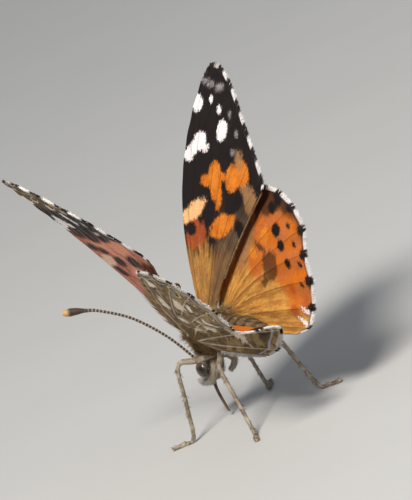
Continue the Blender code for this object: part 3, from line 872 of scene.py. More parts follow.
def body_skin(finish):
    """One skin over thorax, abdomen and head, a coat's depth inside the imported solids."""
    turn = pitch_matrix()
    shells = [
        ellipsoid_shell(body_point(*THORAX_CENTRE), np.array(THORAX_RADII) - (0.25, 0.35, 0.35), turn, 72, 48),
        ellipsoid_shell(body_point(*HEAD_CENTRE), np.array(HEAD_RADII) - 0.15, pitch_matrix(8.0), 56, 36),
        ellipsoid_shell(body_point(3.4, 0.0, -2.9), (1.25, 1.15, 1.35), pitch_matrix(30.0), 48, 30),
        ellipsoid_shell(body_point(-2.4, 0.0, -2.4), (1.9, 1.5, 1.7), pitch_matrix(-20.0), 48, 30),
        tube_shell(abdomen_path(0.12), 36, blunt=0.9)[:2],
    ]
    for _, side in SIDES:
        for (ahead, across, above), radii in WING_SEATS:
            shells.append(ellipsoid_shell(body_point(ahead, side * across, above), radii, turn, 40, 24))
    points, faces, first = [], [], 0
    for shell_points, shell_faces in shells:
        points.append(shell_points)
        faces += [tuple(first + v for v in face) for face in shell_faces]
        first += len(shell_points)
    piece = new_piece("body_skin", np.concatenate(points), faces)
    whole = piece.modifiers.new("one skin", "REMESH")
    whole.mode = "VOXEL"
    whole.voxel_size = 0.11 * MM
    soft = piece.modifiers.new("soft joins", "SMOOTH")
    soft.factor = 0.6
    soft.iterations = 6
    graph = bpy.context.evaluated_depsgraph_get()
    mesh = bpy.data.meshes.new_from_object(piece.evaluated_get(graph))
    piece.modifiers.clear()
    piece.data = mesh
    mesh.materials.clear()
    mesh.materials.append(finish)
    mesh.shade_smooth()
    face_outwards(piece)
    points = mesh_points(mesh)
    set_float(mesh, "behind", body_shares(points)[0])
    return settle(piece, "thorax", "thorax", "abdomen", "head")


def mesh_points(mesh):
    """A mesh's points in mm."""
    co = np.empty(len(mesh.vertices) * 3, np.float32)
    mesh.vertices.foreach_get("co", co)
    return co.reshape(-1, 3).astype(float) / MM


def body_shares(points):
    """How far behind the head each point lies, 0 to 1, and its turn round the body, 0 to 1."""
    local = points - ROOT
    behind = np.clip((7.0 - local[:, 0]) / 22.0, 0.0, 1.0)
    middle = np.interp(points[:, 0], [-12.0, -3.0, 1.0, 6.0], [9.6, 10.3, 11.0, 8.3])
    turn = np.arctan2(points[:, 1] - ROOT[1], points[:, 2] - middle) / (2 * np.pi) + 0.5
    return behind, turn


def ring_wave(points):
    """The abdomen's paler rings, from -1 to 1."""
    return np.sin(2 * np.pi * RINGS * body_shares(points)[0])


def skin_roots(piece, rng, count, keep):
    """Points spread evenly over the part of a skin that keep chooses, with their normals and chart."""
    mesh = piece.data
    mesh.calc_loop_triangles()
    points = mesh_points(mesh)
    corners = np.empty(len(mesh.loop_triangles) * 3, np.int32)
    mesh.loop_triangles.foreach_get("vertices", corners)
    corners = corners.reshape(-1, 3)
    a, b, c = points[corners[:, 0]], points[corners[:, 1]], points[corners[:, 2]]
    normal = np.cross(b - a, c - a)
    area = np.linalg.norm(normal, axis=1)
    area = area * keep((a + b + c) / 3)
    chosen = rng.choice(len(area), count, p=area / area.sum())
    u, v = rng.random((2, count, 1))
    u, v = np.where(u + v > 1, 1 - u, u), np.where(u + v > 1, 1 - v, v)
    place = a[chosen] + u * (b - a)[chosen] + v * (c - a)[chosen]
    behind, turn = body_shares(place)
    return place, unit(normal[chosen]), np.stack([behind, turn], axis=1)


def along_body(points):
    """Distance of each point ahead of the wing roots, along the pitched body."""
    return (points - ROOT) @ FORWARD


def coat_roots(piece, rng, count, keep, flow, length, rise, tone, jitter=0.15):
    """Roots for a coat piece over part of the skin."""
    place, normal, chart = skin_roots(piece, rng, count, keep)
    stream = flow(place) + rng.normal(0, jitter, (count, 3))
    return {
        "points": place - normal * 0.04, "lie": lying(normal, stream, rise(place, rng)), "down": -normal,
        "length": length(place, rng), "tone": tone(place, rng), "chart": chart,
    }


# Finishes

class Recipe:
    """Small helper that adds and links shader nodes in one tree."""

    def __init__(self, tree):
        self.tree = tree

    def node(self, kind, **settings):
        made = self.tree.nodes.new(kind)
        for key, value in settings.items():
            setattr(made, key, value)
        return made

    def feed(self, socket, value):
        if isinstance(value, bpy.types.NodeSocket):
            self.tree.links.new(value, socket)
        elif hasattr(value, "__len__") and socket.type == "RGBA":
            socket.default_value = (*value, 1.0)
        else:
            socket.default_value = value

    def math(self, operation, first, second=0.0, third=None, clamp=False):
        made = self.node("ShaderNodeMath", operation=operation, use_clamp=clamp)
        self.feed(made.inputs[0], first)
        self.feed(made.inputs[1], second)
        if third is not None:
            self.feed(made.inputs[2], third)
        return made.outputs[0]

    def blend(self, share, under, over, way="MIX"):
        made = self.node("ShaderNodeMix", data_type="RGBA", blend_type=way)
        self.feed(made.inputs[0], share)
        self.feed(made.inputs[6], under)
        self.feed(made.inputs[7], over)
        return made.outputs[2]

    def noise(self, vector, scale, detail=3.0, rough=0.55, stretch=None):
        if stretch:
            vector = self.scaled(vector, stretch)
        made = self.node("ShaderNodeTexNoise")
        self.feed(made.inputs["Vector"], vector)
        made.inputs["Scale"].default_value = scale
        made.inputs["Detail"].default_value = detail
        made.inputs["Roughness"].default_value = rough
        return made.outputs["Fac"]

    def scaled(self, vector, by):
        made = self.node("ShaderNodeVectorMath", operation="MULTIPLY")
        self.feed(made.inputs[0], vector)
        made.inputs[1].default_value = by
        return made.outputs[0]

    def value(self, name):
        return self.node("ShaderNodeAttribute", attribute_name=name).outputs["Fac"]

    def ramp(self, share, low, high, bottom=0.0, top=1.0):
        made = self.node("ShaderNodeMapRange", interpolation_type="SMOOTHSTEP")
        self.feed(made.inputs["Value"], share)
        self.feed(made.inputs["From Min"], low)
        self.feed(made.inputs["From Max"], high)
        self.feed(made.inputs["To Min"], bottom)
        self.feed(made.inputs["To Max"], top)
        return made.outputs["Result"]

    def group(self, tree, **inputs):
        made = self.node("ShaderNodeGroup")
        made.node_tree = tree
        for name, value in inputs.items():
            self.feed(made.inputs[name.replace("_", " ")], value)
        return made.outputs

    def bump(self, height, depth_mm, strength=1.0, over=None):
        made = self.node("ShaderNodeBump")
        self.feed(made.inputs["Height"], height)
        made.inputs["Distance"].default_value = depth_mm * MM
        made.inputs["Strength"].default_value = strength
        if over is not None:
            self.feed(made.inputs["Normal"], over)
        return made.outputs["Normal"]


def new_group(name, inputs, outputs):
    """A shader group with named sockets: the recipe, its inputs and its output node."""
    tree = bpy.data.node_groups.new(name, "ShaderNodeTree")
    for label, kind, default in inputs:
        socket = tree.interface.new_socket(label, in_out="INPUT", socket_type=kind)
        if default is not None:
            socket.default_value = default
    for label, kind in outputs:
        tree.interface.new_socket(label, in_out="OUTPUT", socket_type=kind)
    recipe = Recipe(tree)
    return tree, recipe, recipe.node("NodeGroupInput").outputs, recipe.node("NodeGroupOutput").inputs


def wing_scales_group():
    """Rows of tiny wing scales on the wing chart: a random value for each scale, and their height."""
    tree, make, given, out = new_group(
        "wing scales",
        (("Chart", "NodeSocketVector", None), ("Scale Length", "NodeSocketFloat", 0.2),
         ("Scale Width", "NodeSocketFloat", 0.1)),
        (("Scale Tone", "NodeSocketFloat"), ("Height", "NodeSocketFloat")),
    )
    along = make.math("DIVIDE", 1.0, given["Scale Length"])
    across = make.math("DIVIDE", 1.0, given["Scale Width"])
    rate = make.node("ShaderNodeCombineXYZ")
    make.feed(rate.inputs[0], along)
    make.feed(rate.inputs[1], across)
    where = make.node("ShaderNodeVectorMath", operation="MULTIPLY")
    make.feed(where.inputs[0], given["Chart"])
    make.feed(where.inputs[1], rate.outputs[0])
    cells = make.node("ShaderNodeTexVoronoi", feature="F1")
    make.feed(cells.inputs["Vector"], where.outputs[0])
    cells.inputs["Scale"].default_value = 1.0
    cells.inputs["Randomness"].default_value = 0.6
    tint = make.node("ShaderNodeSeparateColor")
    make.feed(tint.inputs[0], cells.outputs["Color"])
    make.feed(out["Scale Tone"], tint.outputs[0])
    make.feed(out["Height"], make.math("SUBTRACT", 1.0, cells.outputs["Distance"]))
    return tree


def mark_edge_group():
    """Turns a mark's depth into a mask whose rim is broken up scale by scale."""
    tree, make, given, out = new_group(
        "mark edge",
        (("Depth", "NodeSocketFloat", 0.0), ("Wander", "NodeSocketFloat", 0.0),
         ("Scale Tone", "NodeSocketFloat", 0.5), ("Softness", "NodeSocketFloat", 0.15)),
        (("Mask", "NodeSocketFloat"),),
    )
    jag = make.math("MULTIPLY_ADD", given["Scale Tone"], 0.34, -0.17)
    depth = make.math("ADD", given["Depth"], jag)
    depth = make.math("ADD", depth, given["Wander"])
    low = make.math("MULTIPLY", given["Softness"], -1.0)
    make.feed(out["Mask"], make.ramp(depth, low, given["Softness"]))
    return tree


def strand_tint_group():
    """Colour of a strand from its tone."""
    tree, make, given, out = new_group(
        "strand tint",
        (("Tone", "NodeSocketFloat", 0.5), ("Dark", "NodeSocketColor", None),
         ("Middle", "NodeSocketColor", None), ("Pale", "NodeSocketColor", None)),
        (("Tint", "NodeSocketColor"),),
    )
    lower = make.blend(make.ramp(given["Tone"], 0.0, 0.5), given["Dark"], given["Middle"])
    make.feed(out["Tint"], make.blend(make.ramp(given["Tone"], 0.5, 1.0), lower, given["Pale"]))
    return tree


WING_SCALES = wing_scales_group()
MARK_EDGE = mark_edge_group()
STRAND_TINT = strand_tint_group()

BROWN_BLACK = (0.013, 0.0085, 0.0075)
DARK_BROWN = (0.075, 0.030, 0.011)
TAWNY = (0.46, 0.190, 0.045)
OLIVE_TAN = (0.27, 0.160, 0.045)
GOLDEN = (0.72, 0.370, 0.080)
DUSK = (0.130, 0.080, 0.048)
ORANGE = (0.66, 0.170, 0.008)
ORANGE_PALE = (0.72, 0.23, 0.022)
SALMON = (0.50, 0.150, 0.040)
DULL_TAN = (0.36, 0.190, 0.080)
RED_BROWN = (0.42, 0.085, 0.020)
CREAM = (0.94, 0.50, 0.22)
CHALK = (0.93, 0.86, 0.85)
SMOKE = (0.34, 0.31, 0.31)
WING_GLOSS = 0.18


def new_finish(name, roughness=0.6, **constants):
    """A material with a Principled shader, its recipe and the shader node."""
    finish = bpy.data.materials.new(name)
    finish.use_nodes = True
    tree = finish.node_tree
    shader = tree.nodes["Principled BSDF"]
    shader.inputs["Roughness"].default_value = roughness
    for key, value in constants.items():
        shader.inputs[key.replace("_", " ")].default_value = value
    return finish, Recipe(tree), shader


def wing_chart(make):
    """The flat wing position in mm."""
    chart = make.node("ShaderNodeUVMap", uv_map="wing_chart")
    return make.scaled(chart.outputs[0], (MAP_SPAN, MAP_SPAN, 0.0))


def wing_masks(make, scales, wander):
    """A function that gives the mask of a named mark."""

    def mask(name, softness=0.12, share=1.0):
        spread = make.math("MULTIPLY", wander, share)
        return make.group(MARK_EDGE, Depth=make.value(name), Wander=spread,
                          Scale_Tone=scales["Scale Tone"], Softness=softness)["Mask"]

    return mask


def wing_streaks(make):
    """Fine streaks that fan out from the wing's base along its veins."""
    way = make.node("ShaderNodeCombineXYZ")
    make.feed(way.inputs[0], make.math("MULTIPLY", make.value("fan"), 30.0))
    make.feed(way.inputs[1], make.math("MULTIPLY", make.value("reach"), 5.0))
    return make.noise(way.outputs[0], 1.0, 5.0, 0.6)


def finish_wing(make, shader, colour, scales, streak, cloud):
    """Gives each scale its own shade and relief, and feeds the shader."""
    grain = make.math("MULTIPLY_ADD", scales["Scale Tone"], 0.34, 0.83)
    shade = make.math("MULTIPLY", grain, make.math("MULTIPLY_ADD", cloud, 0.3, 0.85))
    colour = make.blend(1.0, colour, combine_grey(make, shade), "MULTIPLY")
    make.feed(shader.inputs["Base Color"], colour)
    make.feed(shader.inputs["Roughness"], make.math("MULTIPLY_ADD", scales["Scale Tone"], 0.2, 0.55))
    ridge = make.bump(streak, 0.05, 0.35)
    make.feed(shader.inputs["Normal"], make.bump(scales["Height"], 0.03, 0.5, ridge))


def wing_upper(kind):
    """The upper side: black-brown tips with white spots, orange fields, golden base."""
    finish, make, shader = new_finish("painted " + kind + " upper side", 0.62, Specular_IOR_Level=WING_GLOSS)
    chart = wing_chart(make)
    scales = make.group(WING_SCALES, Chart=chart)
    wander = make.math("MULTIPLY_ADD", make.noise(chart, 1.1, 4.0), 0.7, -0.35)
    mask = wing_masks(make, scales, wander)
    parts = make.node("ShaderNodeSeparateXYZ")
    make.feed(parts.inputs[0], chart)
    outward = make.math("SUBTRACT", parts.outputs[0], MAP_OFFSET[0])
    streak = wing_streaks(make)
    cloud = make.noise(chart, 0.5, 3.0)
    if kind == "forewing":
        base = make.blend(make.ramp(streak, 0.38, 0.62), OLIVE_TAN, TAWNY)
        base = make.blend(make.ramp(cloud, 0.45, 0.7, 0.0, 0.45), base, GOLDEN)
        reach = make.math("MULTIPLY_ADD", streak, 7.0, 6.0)
        reach = make.math("MULTIPLY_ADD", cloud, 3.0, make.math("SUBTRACT", reach, 1.5))
        ground = make.blend(make.ramp(outward, make.math("SUBTRACT", reach, 3.0), reach), base, BROWN_BLACK)
        dusk = make.math("MULTIPLY", make.ramp(make.value("fan"), 0.5, 0.85), make.ramp(outward, 15.0, 9.5, 0.0, 0.75))
        ground = make.blend(dusk, ground, DUSK)
    else:
        base = make.blend(make.ramp(streak, 0.40, 0.62), TAWNY, GOLDEN)
        base = make.blend(make.math("MULTIPLY", make.ramp(cloud, 0.5, 0.7), 0.5), base, OLIVE_TAN)
        ground = make.blend(make.ramp(outward, 10.0, 15.0), base, DARK_BROWN)
    warm = make.blend(make.ramp(cloud, 0.35, 0.65), ORANGE, ORANGE_PALE if kind == "forewing" else SALMON)
    warm = make.blend(make.math("MULTIPLY", streak, 0.3), warm, RED_BROWN)
    colour = make.blend(mask("orange", 0.22 if kind == "forewing" else 0.9), ground, warm)
    colour = make.blend(make.math("MULTIPLY", mask("tan", 0.35, 1.3), 0.8), colour, DULL_TAN)
    colour = make.blend(make.math("MULTIPLY", mask("red", 0.35, 1.3), 0.8), colour, RED_BROWN)
    colour = make.blend(mask("cream", 0.25), colour, CREAM if kind == "forewing" else ORANGE_PALE)
    if kind == "hindwing":
        colour = make.blend(make.math("MULTIPLY", mask("grey", 0.22, 1.8), 0.85), colour, DARK_BROWN)
    colour = make.blend(mask("black", 0.16, 0.6), colour, BROWN_BLACK)
    if kind == "forewing":
        colour = make.blend(make.math("MULTIPLY", mask("grey", 0.3), 0.75), colour, SMOKE)
    colour = make.blend(mask("white", 0.13, 0.6), colour, CHALK)
    dark_vein = make.math("MULTIPLY", make.ramp(make.value("vein"), 0.35, 0.95), 0.42)
    colour = make.blend(dark_vein, colour, BROWN_BLACK)
    rim = make.ramp(make.math("ADD", make.value("edge"), wander), 0.55, 0.05)
    colour = make.blend(make.math("MULTIPLY", rim, 0.8), colour, BROWN_BLACK)
    finish_wing(make, shader, colour, scales, streak, cloud)
    return finish


def combine_grey(make, value):
    made = make.node("ShaderNodeCombineColor")
    for socket in made.inputs:
        make.feed(socket, value)
    return made.outputs[0]


def wing_under(kind):
    """The underside: rosy forewing with an olive tip, marbled hindwing with pale veins and eyespots."""
    finish, make, shader = new_finish("painted " + kind + " underside", 0.66, Specular_IOR_Level=WING_GLOSS)
    chart = wing_chart(make)
    scales = make.group(WING_SCALES, Chart=chart)
    wander = make.math("MULTIPLY_ADD", make.noise(chart, 1.1, 4.0), 0.7, -0.35)
    mask = wing_masks(make, scales, wander)
    parts = make.node("ShaderNodeSeparateXYZ")
    make.feed(parts.inputs[0], chart)
    outward = make.math("SUBTRACT", parts.outputs[0], MAP_OFFSET[0])
    cloud = make.noise(chart, 0.55, 3.0)
    streak = wing_streaks(make)
    olive = make.blend(make.ramp(streak, 0.35, 0.65), (0.060, 0.035, 0.012), (0.22, 0.130, 0.050))
    pale = make.blend(cloud, (0.74, 0.56, 0.36), (0.86, 0.80, 0.70))
    if kind == "forewing":
        rosy = make.blend(make.ramp(cloud, 0.35, 0.65), (0.52, 0.120, 0.062), (0.72, 0.30, 0.19))
        rosy = make.blend(make.math("MULTIPLY", streak, 0.35), rosy, (0.28, 0.065, 0.040))
        ground = make.blend(make.ramp(outward, 16.5, 19.0), rosy, BROWN_BLACK)
        ground = make.blend(make.ramp(outward, 22.5, 24.5), ground, olive)
        colour = make.blend(mask("orange", 0.5), ground, (0.82, 0.33, 0.19))
        colour = make.blend(mask("cream", 0.3), colour, (0.90, 0.58, 0.42))
        colour = make.blend(mask("under", 0.3), colour, (0.035, 0.007, 0.008))
        colour = make.blend(make.math("MULTIPLY", mask("grey", 0.3), 0.8), colour, pale)
        colour = make.blend(mask("white", 0.15), colour, CHALK)
    else:
        marble = make.ramp(make.math("ADD", make.noise(chart, 0.42, 4.0, 0.6), wander), 0.46, 0.58)
        colour = make.blend(make.math("MULTIPLY", marble, 0.8), olive, (0.37, 0.25, 0.115))
        colour = make.blend(mask("under", 0.3, 2.2), colour, pale)
        band = make.math("SUBTRACT", make.value("edge"), 1.9)
        line = make.ramp(make.math("ABSOLUTE", band), 0.38, 0.12)
        colour = make.blend(make.math("MULTIPLY", line, 0.7), colour, (0.44, 0.46, 0.54))
    vein_share = 0.6 if kind == "hindwing" else 0.3
    pale_vein = make.math("MULTIPLY", make.ramp(make.value("vein"), 0.4, 0.95), vein_share)
    colour = make.blend(pale_vein, colour, pale)
    spot = make.math("MULTIPLY_ADD", scales["Scale Tone"], 0.12, make.math("ADD", make.value("spot"), -0.06))
    colour = make.blend(make.ramp(spot, 1.22, 1.08), colour, (0.05, 0.03, 0.02))
    colour = make.blend(make.ramp(spot, 1.06, 0.94), colour, (0.70, 0.45, 0.15))
    colour = make.blend(make.ramp(spot, 0.72, 0.60), colour, (0.02, 0.016, 0.016))
    colour = make.blend(make.ramp(spot, 0.38, 0.24), colour, (0.16, 0.28, 0.44))
    rim = make.ramp(make.math("ADD", make.value("edge"), wander), 0.7, 0.2)
    colour = make.blend(make.math("MULTIPLY", rim, 0.6), colour, (0.74, 0.66, 0.56))
    finish_wing(make, shader, colour, scales, streak, cloud)
    return finish


def strand_finish(name, dark, middle, pale, roughness=0.55):
    """Hair or fringe whose colour follows each strand's own tone."""
    finish, make, shader = new_finish(name, roughness, Specular_IOR_Level=0.3)
    tint = make.group(STRAND_TINT, Tone=make.value("tone"), Dark=dark, Middle=middle, Pale=pale)["Tint"]
    coords = make.node("ShaderNodeTexCoord").outputs["Object"]
    patches = make.noise(coords, 900.0, 2.0)
    tint = make.blend(1.0, tint, combine_grey(make, make.math("MULTIPLY_ADD", patches, 0.5, 0.75)), "MULTIPLY")
    make.feed(shader.inputs["Base Color"], tint)
    make.feed(shader.inputs["Roughness"], make.math("MULTIPLY_ADD", patches, 0.25, roughness - 0.12))
    return finish


def skin_finish():
    """Dark brown body skin with fine flat scales and paler rings on the abdomen."""
    finish, make, shader = new_finish("scaled body skin", 0.6, Specular_IOR_Level=0.3)
    coords = make.node("ShaderNodeTexCoord").outputs["Object"]
    fine = make.noise(coords, 9000.0, 3.0)
    cloud = make.noise(coords, 700.0, 3.0)
    colour = make.blend(cloud, (0.045, 0.028, 0.016), (0.17, 0.105, 0.052))
    colour = make.blend(make.math("MULTIPLY", fine, 0.5), colour, (0.30, 0.20, 0.11))
    rings = make.math("SINE", make.math("MULTIPLY", make.value("behind"), 2 * math.pi * RINGS))
    colour = make.blend(make.math("MULTIPLY", make.ramp(rings, 0.6, 1.0), 0.35), colour, (0.42, 0.32, 0.20))
    make.feed(shader.inputs["Base Color"], colour)
    make.feed(shader.inputs["Roughness"], make.math("MULTIPLY_ADD", fine, 0.3, 0.45))
    make.feed(shader.inputs["Normal"], make.bump(fine, 0.03, 0.6))
    return finish


def eye_finish():
    """Glossy compound eye: brown with darker patches and fine facets."""
    finish, make, shader = new_finish("compound eye", 0.22, Coat_Weight=0.6, Coat_Roughness=0.08)
    coords = make.node("ShaderNodeTexCoord").outputs["Object"]
    facets = make.node("ShaderNodeTexVoronoi", feature="F1")
    make.feed(facets.inputs["Vector"], coords)
    facets.inputs["Scale"].default_value = 14000.0
    facets.inputs["Randomness"].default_value = 0.35
    patches = make.ramp(make.noise(coords, 1100.0, 1.5), 0.46, 0.60)
    colour = make.blend(patches, (0.135, 0.066, 0.030), (0.022, 0.011, 0.007))
    rim = make.ramp(facets.outputs["Distance"], 0.35, 0.65)
    colour = make.blend(make.math("MULTIPLY", rim, 0.5), colour, (0.05, 0.025, 0.012))
    make.feed(shader.inputs["Base Color"], colour)
    make.feed(shader.inputs["Roughness"], make.math("MULTIPLY_ADD", patches, -0.06, 0.26))
    dome = make.math("SUBTRACT", 1.0, facets.outputs["Distance"])
    make.feed(shader.inputs["Normal"], make.bump(dome, 0.012, 0.35))
    return finish


def feeler_finish():
    """Feelers: dark brown with pale rings, a darker club and an orange tip."""
    finish, make, shader = new_finish("ringed feeler", 0.5)
    along = make.value("along")
    wave = make.math("SINE", make.math("MULTIPLY", along, 2 * math.pi * 42.0))
    rings = make.math("MULTIPLY", make.ramp(wave, 0.25, 0.75), make.ramp(along, 0.88, 0.80))
    coords = make.node("ShaderNodeTexCoord").outputs["Object"]
    fine = make.noise(coords, 8000.0, 2.0)
    colour = make.blend(fine, (0.030, 0.018, 0.012), (0.075, 0.045, 0.028))
    colour = make.blend(make.math("MULTIPLY", rings, 0.75), colour, (0.55, 0.47, 0.38))
    colour = make.blend(make.ramp(along, 0.955, 0.985), colour, (0.60, 0.36, 0.16))
    make.feed(shader.inputs["Base Color"], colour)
    make.feed(shader.inputs["Roughness"], make.math("MULTIPLY_ADD", fine, 0.3, 0.38))
    make.feed(shader.inputs["Normal"], make.bump(fine, 0.02, 0.5))
    return finish


def limb_finish(name, dark, pale, roughness=0.55):
    """Legs, palps and tongue: two tones with fine scaling."""
    finish, make, shader = new_finish(name, roughness)
    coords = make.node("ShaderNodeTexCoord").outputs["Object"]
    fine = make.noise(coords, 7000.0, 3.0)
    cloud = make.noise(coords, 900.0, 2.0)
    colour = make.blend(make.ramp(cloud, 0.35, 0.65), dark, pale)
    colour = make.blend(make.math("MULTIPLY", fine, 0.4), colour, dark)
    make.feed(shader.inputs["Base Color"], colour)
    make.feed(shader.inputs["Roughness"], make.math("MULTIPLY_ADD", fine, 0.3, roughness - 0.15))
    make.feed(shader.inputs["Normal"], make.bump(fine, 0.03, 0.5))
    return finish


# Pieces

def dress_wings():
    """Four membranes, their fringes and the hair at their bases."""
    fringe = strand_finish("checkered fringe", (0.030, 0.020, 0.018), (0.42, 0.38, 0.35), (0.95, 0.92, 0.90))
    golden = strand_finish("golden wing hair", (0.34, 0.165, 0.040), (0.60, 0.33, 0.085), (0.86, 0.58, 0.24))
    drab = strand_finish("drab wing hair", (0.12, 0.075, 0.034), (0.30, 0.21, 0.10), (0.56, 0.45, 0.29))
    for kind in ("forewing", "hindwing"):
        upper, under = wing_upper(kind), wing_under(kind)
        for number, (word, side) in enumerate(SIDES):
            build_wing(kind, word, side, upper, under)
            rng = np.random.default_rng(100 + number)
            name = kind + "_" + word
            roots = fringe_roots(kind, side, rng, "outer")
            grow_coat(name + "_fringe", roots, fringe, kind, 0.085, 0.05)
            roots = fringe_roots(kind, side, rng, "inner")
            grow_coat(name + "_inner_fringe", roots, drab if kind == "forewing" else fringe, kind, 0.06, 0.1)
            roots = base_hair_roots(kind, side, rng, 1700 if kind == "forewing" else 3200, True)
            grow_coat(name + "_base_hair", roots, golden, kind, 0.032, 0.1)
            roots = base_hair_roots(kind, side, rng, 1100, False)
            grow_coat(name + "_under_hair", roots, drab, kind, 0.04, 0.12)


def dress_body():
    """The skin and its coat."""
    skin = body_skin(skin_finish())
    rng = np.random.default_rng(7)
    tawny = strand_finish("tawny breast hair", (0.11, 0.062, 0.024), (0.37, 0.24, 0.10), (0.66, 0.50, 0.29))
    grey = strand_finish("grey head hair", (0.09, 0.055, 0.030), (0.32, 0.25, 0.17), (0.74, 0.70, 0.65))
    brown = strand_finish("abdomen scales", (0.08, 0.05, 0.026), (0.24, 0.155, 0.075), (0.46, 0.34, 0.19))

    def back_flow(points):
        return -FORWARD + 0.25 * unit((points - body_point(*THORAX_CENTRE)) * (0.0, 1.0, 1.0))

    def breast(points):
        ahead = along_body(points)
        return ((ahead < 3.6) & (ahead > -3.3)).astype(float)

    def head(points):
        clear = np.ones(len(points))
        for _, side in SIDES:
            local = (points - eye_centre(side)) @ pitch_matrix(8.0)
            clear *= (np.sum((local / EYE_RADII) ** 2, axis=1) > 0.92)
        return (along_body(points) >= 3.0) * clear

    def tail(points):
        return (along_body(points) < -2.6).astype(float)

    roots = coat_roots(
        skin, rng, 12000, breast, back_flow,
        lambda p, r: r.uniform(0.8, 1.9, len(p)), lambda p, r: r.uniform(0.12, 0.6, len(p)),
        lambda p, r: np.clip(0.45 + 0.25 * (p[:, 2] - 11.0) / 3.0 + r.normal(0, 0.25, len(p)), 0, 1))
    grow_coat("thorax_hair", roots, tawny, "thorax", 0.042, 0.3)
    roots = coat_roots(
        skin, rng, 6500, head, lambda p: unit(p - body_point(4.0, 0.0, -3.9)) + 0.5 * FORWARD,
        lambda p, r: r.uniform(0.4, 1.05, len(p)), lambda p, r: r.uniform(0.3, 1.2, len(p)),
        lambda p, r: np.clip(r.uniform(0.1, 1.0, len(p)), 0, 1), 0.3)
    grow_coat("head_hair", roots, grey, "head", 0.038, 0.14)
    roots = coat_roots(
        skin, rng, 11000, tail, lambda p: np.tile([-1.0, 0.0, -0.1], (len(p), 1)),
        lambda p, r: r.uniform(0.45, 0.95, len(p)), lambda p, r: r.uniform(0.1, 0.42, len(p)),
        lambda p, r: np.clip(0.5 + 0.3 * ring_wave(p) + r.normal(0, 0.2, len(p)), 0, 1), 0.1)
    grow_coat("abdomen_coat", roots, brown, "abdomen", 0.06, 0.05)


def head_frame(local, more=8.0):
    """A point in mm given in the head's own turned frame."""
    return body_point(*HEAD_CENTRE) + pitch_matrix(more) @ np.array(local)


def eye_centre(side):
    return head_frame((0.15, side * 0.95, 0.12))


def brush_roots(path, rng, count, length, lean, tones):
    """Roots all round a tube: hair that leans towards its tip."""
    places = np.array([p for p, _ in path])
    radii = np.array([r for _, r in path])
    tangents = unit(np.gradient(places, axis=0))
    at = rng.uniform(0, len(places) - 1.001, count)
    low = at.astype(int)
    share = (at - low)[:, None]
    centre = places[low] * (1 - share) + places[low + 1] * share
    radius = (radii[low] * (1 - share[:, 0]) + radii[low + 1] * share[:, 0])
    tangent = tangents[low]
    round_it = rng.normal(0, 1, (count, 3))
    normal = unit(round_it - tangent * np.sum(round_it * tangent, axis=1, keepdims=True))
    turn = np.arctan2(normal[:, 1], normal[:, 2]) / (2 * np.pi) + 0.5
    return {
        "points": centre + normal * (radius * 0.85)[:, None],
        "lie": unit(tangent + normal * rng.uniform(lean * 0.5, lean * 1.5, count)[:, None]),
        "down": -normal, "length": rng.uniform(length * 0.6, length * 1.25, count),
        "tone": rng.uniform(*tones, count), "chart": np.stack([at / len(places), turn], axis=1),
    }


def dress_head():
    """Eyes, palps, feelers and tongue."""
    eye = eye_finish()
    feeler = feeler_finish()
    palp_skin = limb_finish("pale palp", (0.24, 0.19, 0.14), (0.56, 0.50, 0.42))
    pale = strand_finish("pale palp hair", (0.13, 0.10, 0.08), (0.50, 0.45, 0.38), (0.80, 0.77, 0.72))
    tongue = limb_finish("coiled tongue", (0.030, 0.018, 0.012), (0.16, 0.085, 0.04), 0.4)
    rng = np.random.default_rng(31)
    for word, side in SIDES:
        points, faces = ellipsoid_shell(eye_centre(side), EYE_RADII, pitch_matrix(8.0))
        piece = new_piece("eye_" + word + "_lens", points, faces)
        face_outwards(piece)
        piece.data.materials.append(eye)
        settle(piece, "eye", "eye_" + word)

        path = smooth_path((
            (head_frame((0.6, side * 0.72, -0.80)), 0.24),
            (head_frame((1.6, side * 0.78, -0.78)), 0.30),
            (head_frame((2.5, side * 0.66, -0.25)), 0.26),
            (head_frame((3.1, side * 0.50, 0.25)), 0.10),
        ), 8)
        piece = add_tube("palp_" + word + "_core", path, 16)
        piece.data.materials.append(palp_skin)
        settle(piece, "palp", "palp_" + word)
        grow_coat("palp_" + word + "_hair", brush_roots(path, rng, 1700, 0.62, 0.75, (0.1, 1.0)), pale, "palp", 0.036, 0.12)

        foot = head_frame((0.55, side * 0.45, 0.8))
        stations = []
        for share, radius in ((0.0, 0.2), (0.02, 0.24), (0.05, 0.17), (0.25, 0.16), (0.5, 0.16), (0.74, 0.17),
                              (0.84, 0.24), (0.9, 0.42), (0.95, 0.5), (0.985, 0.42), (1.0, 0.24)):
            bow = np.array(ANTENNA_ARCH[side]) * share * (1 - share)
            stations.append((foot + np.array(ANTENNA_REACH[side]) * share + bow, radius))
        path = smooth_path(stations, 14)
        ringed = []
        for i, (place, radius) in enumerate(path):
            swell = 1.0 + 0.09 * math.cos(2 * math.pi * 42.0 * i / (len(path) - 1))
            ringed.append((place, radius * swell))
        piece = add_tube("antenna_" + word + "_ringed", ringed, 14)
        piece.data.materials.append(feeler)
        settle(piece, "antenna", "antenna_" + word)

    mouth = head_frame((0.75, 0.0, -1.0))
    path = smooth_path((
        (mouth, 0.2),
        (mouth + (0.9, 0.0, -0.95), 0.2),
        (mouth + (1.25, 0.0, -2.1), 0.19),
        (np.array([mouth[0] + 1.05, mouth[1], 1.35]), 0.17),
        (np.array([mouth[0] + 0.85, mouth[1], 0.75]), 0.13),
    ), 24)
    ringed = [(p, r * (1.0 + 0.05 * math.cos(i * 2.1))) for i, (p, r) in enumerate(path)]
    piece = add_tube("proboscis_tube", ringed, 14)
    piece.data.materials.append(tongue)
    settle(piece, "proboscis", "proboscis")


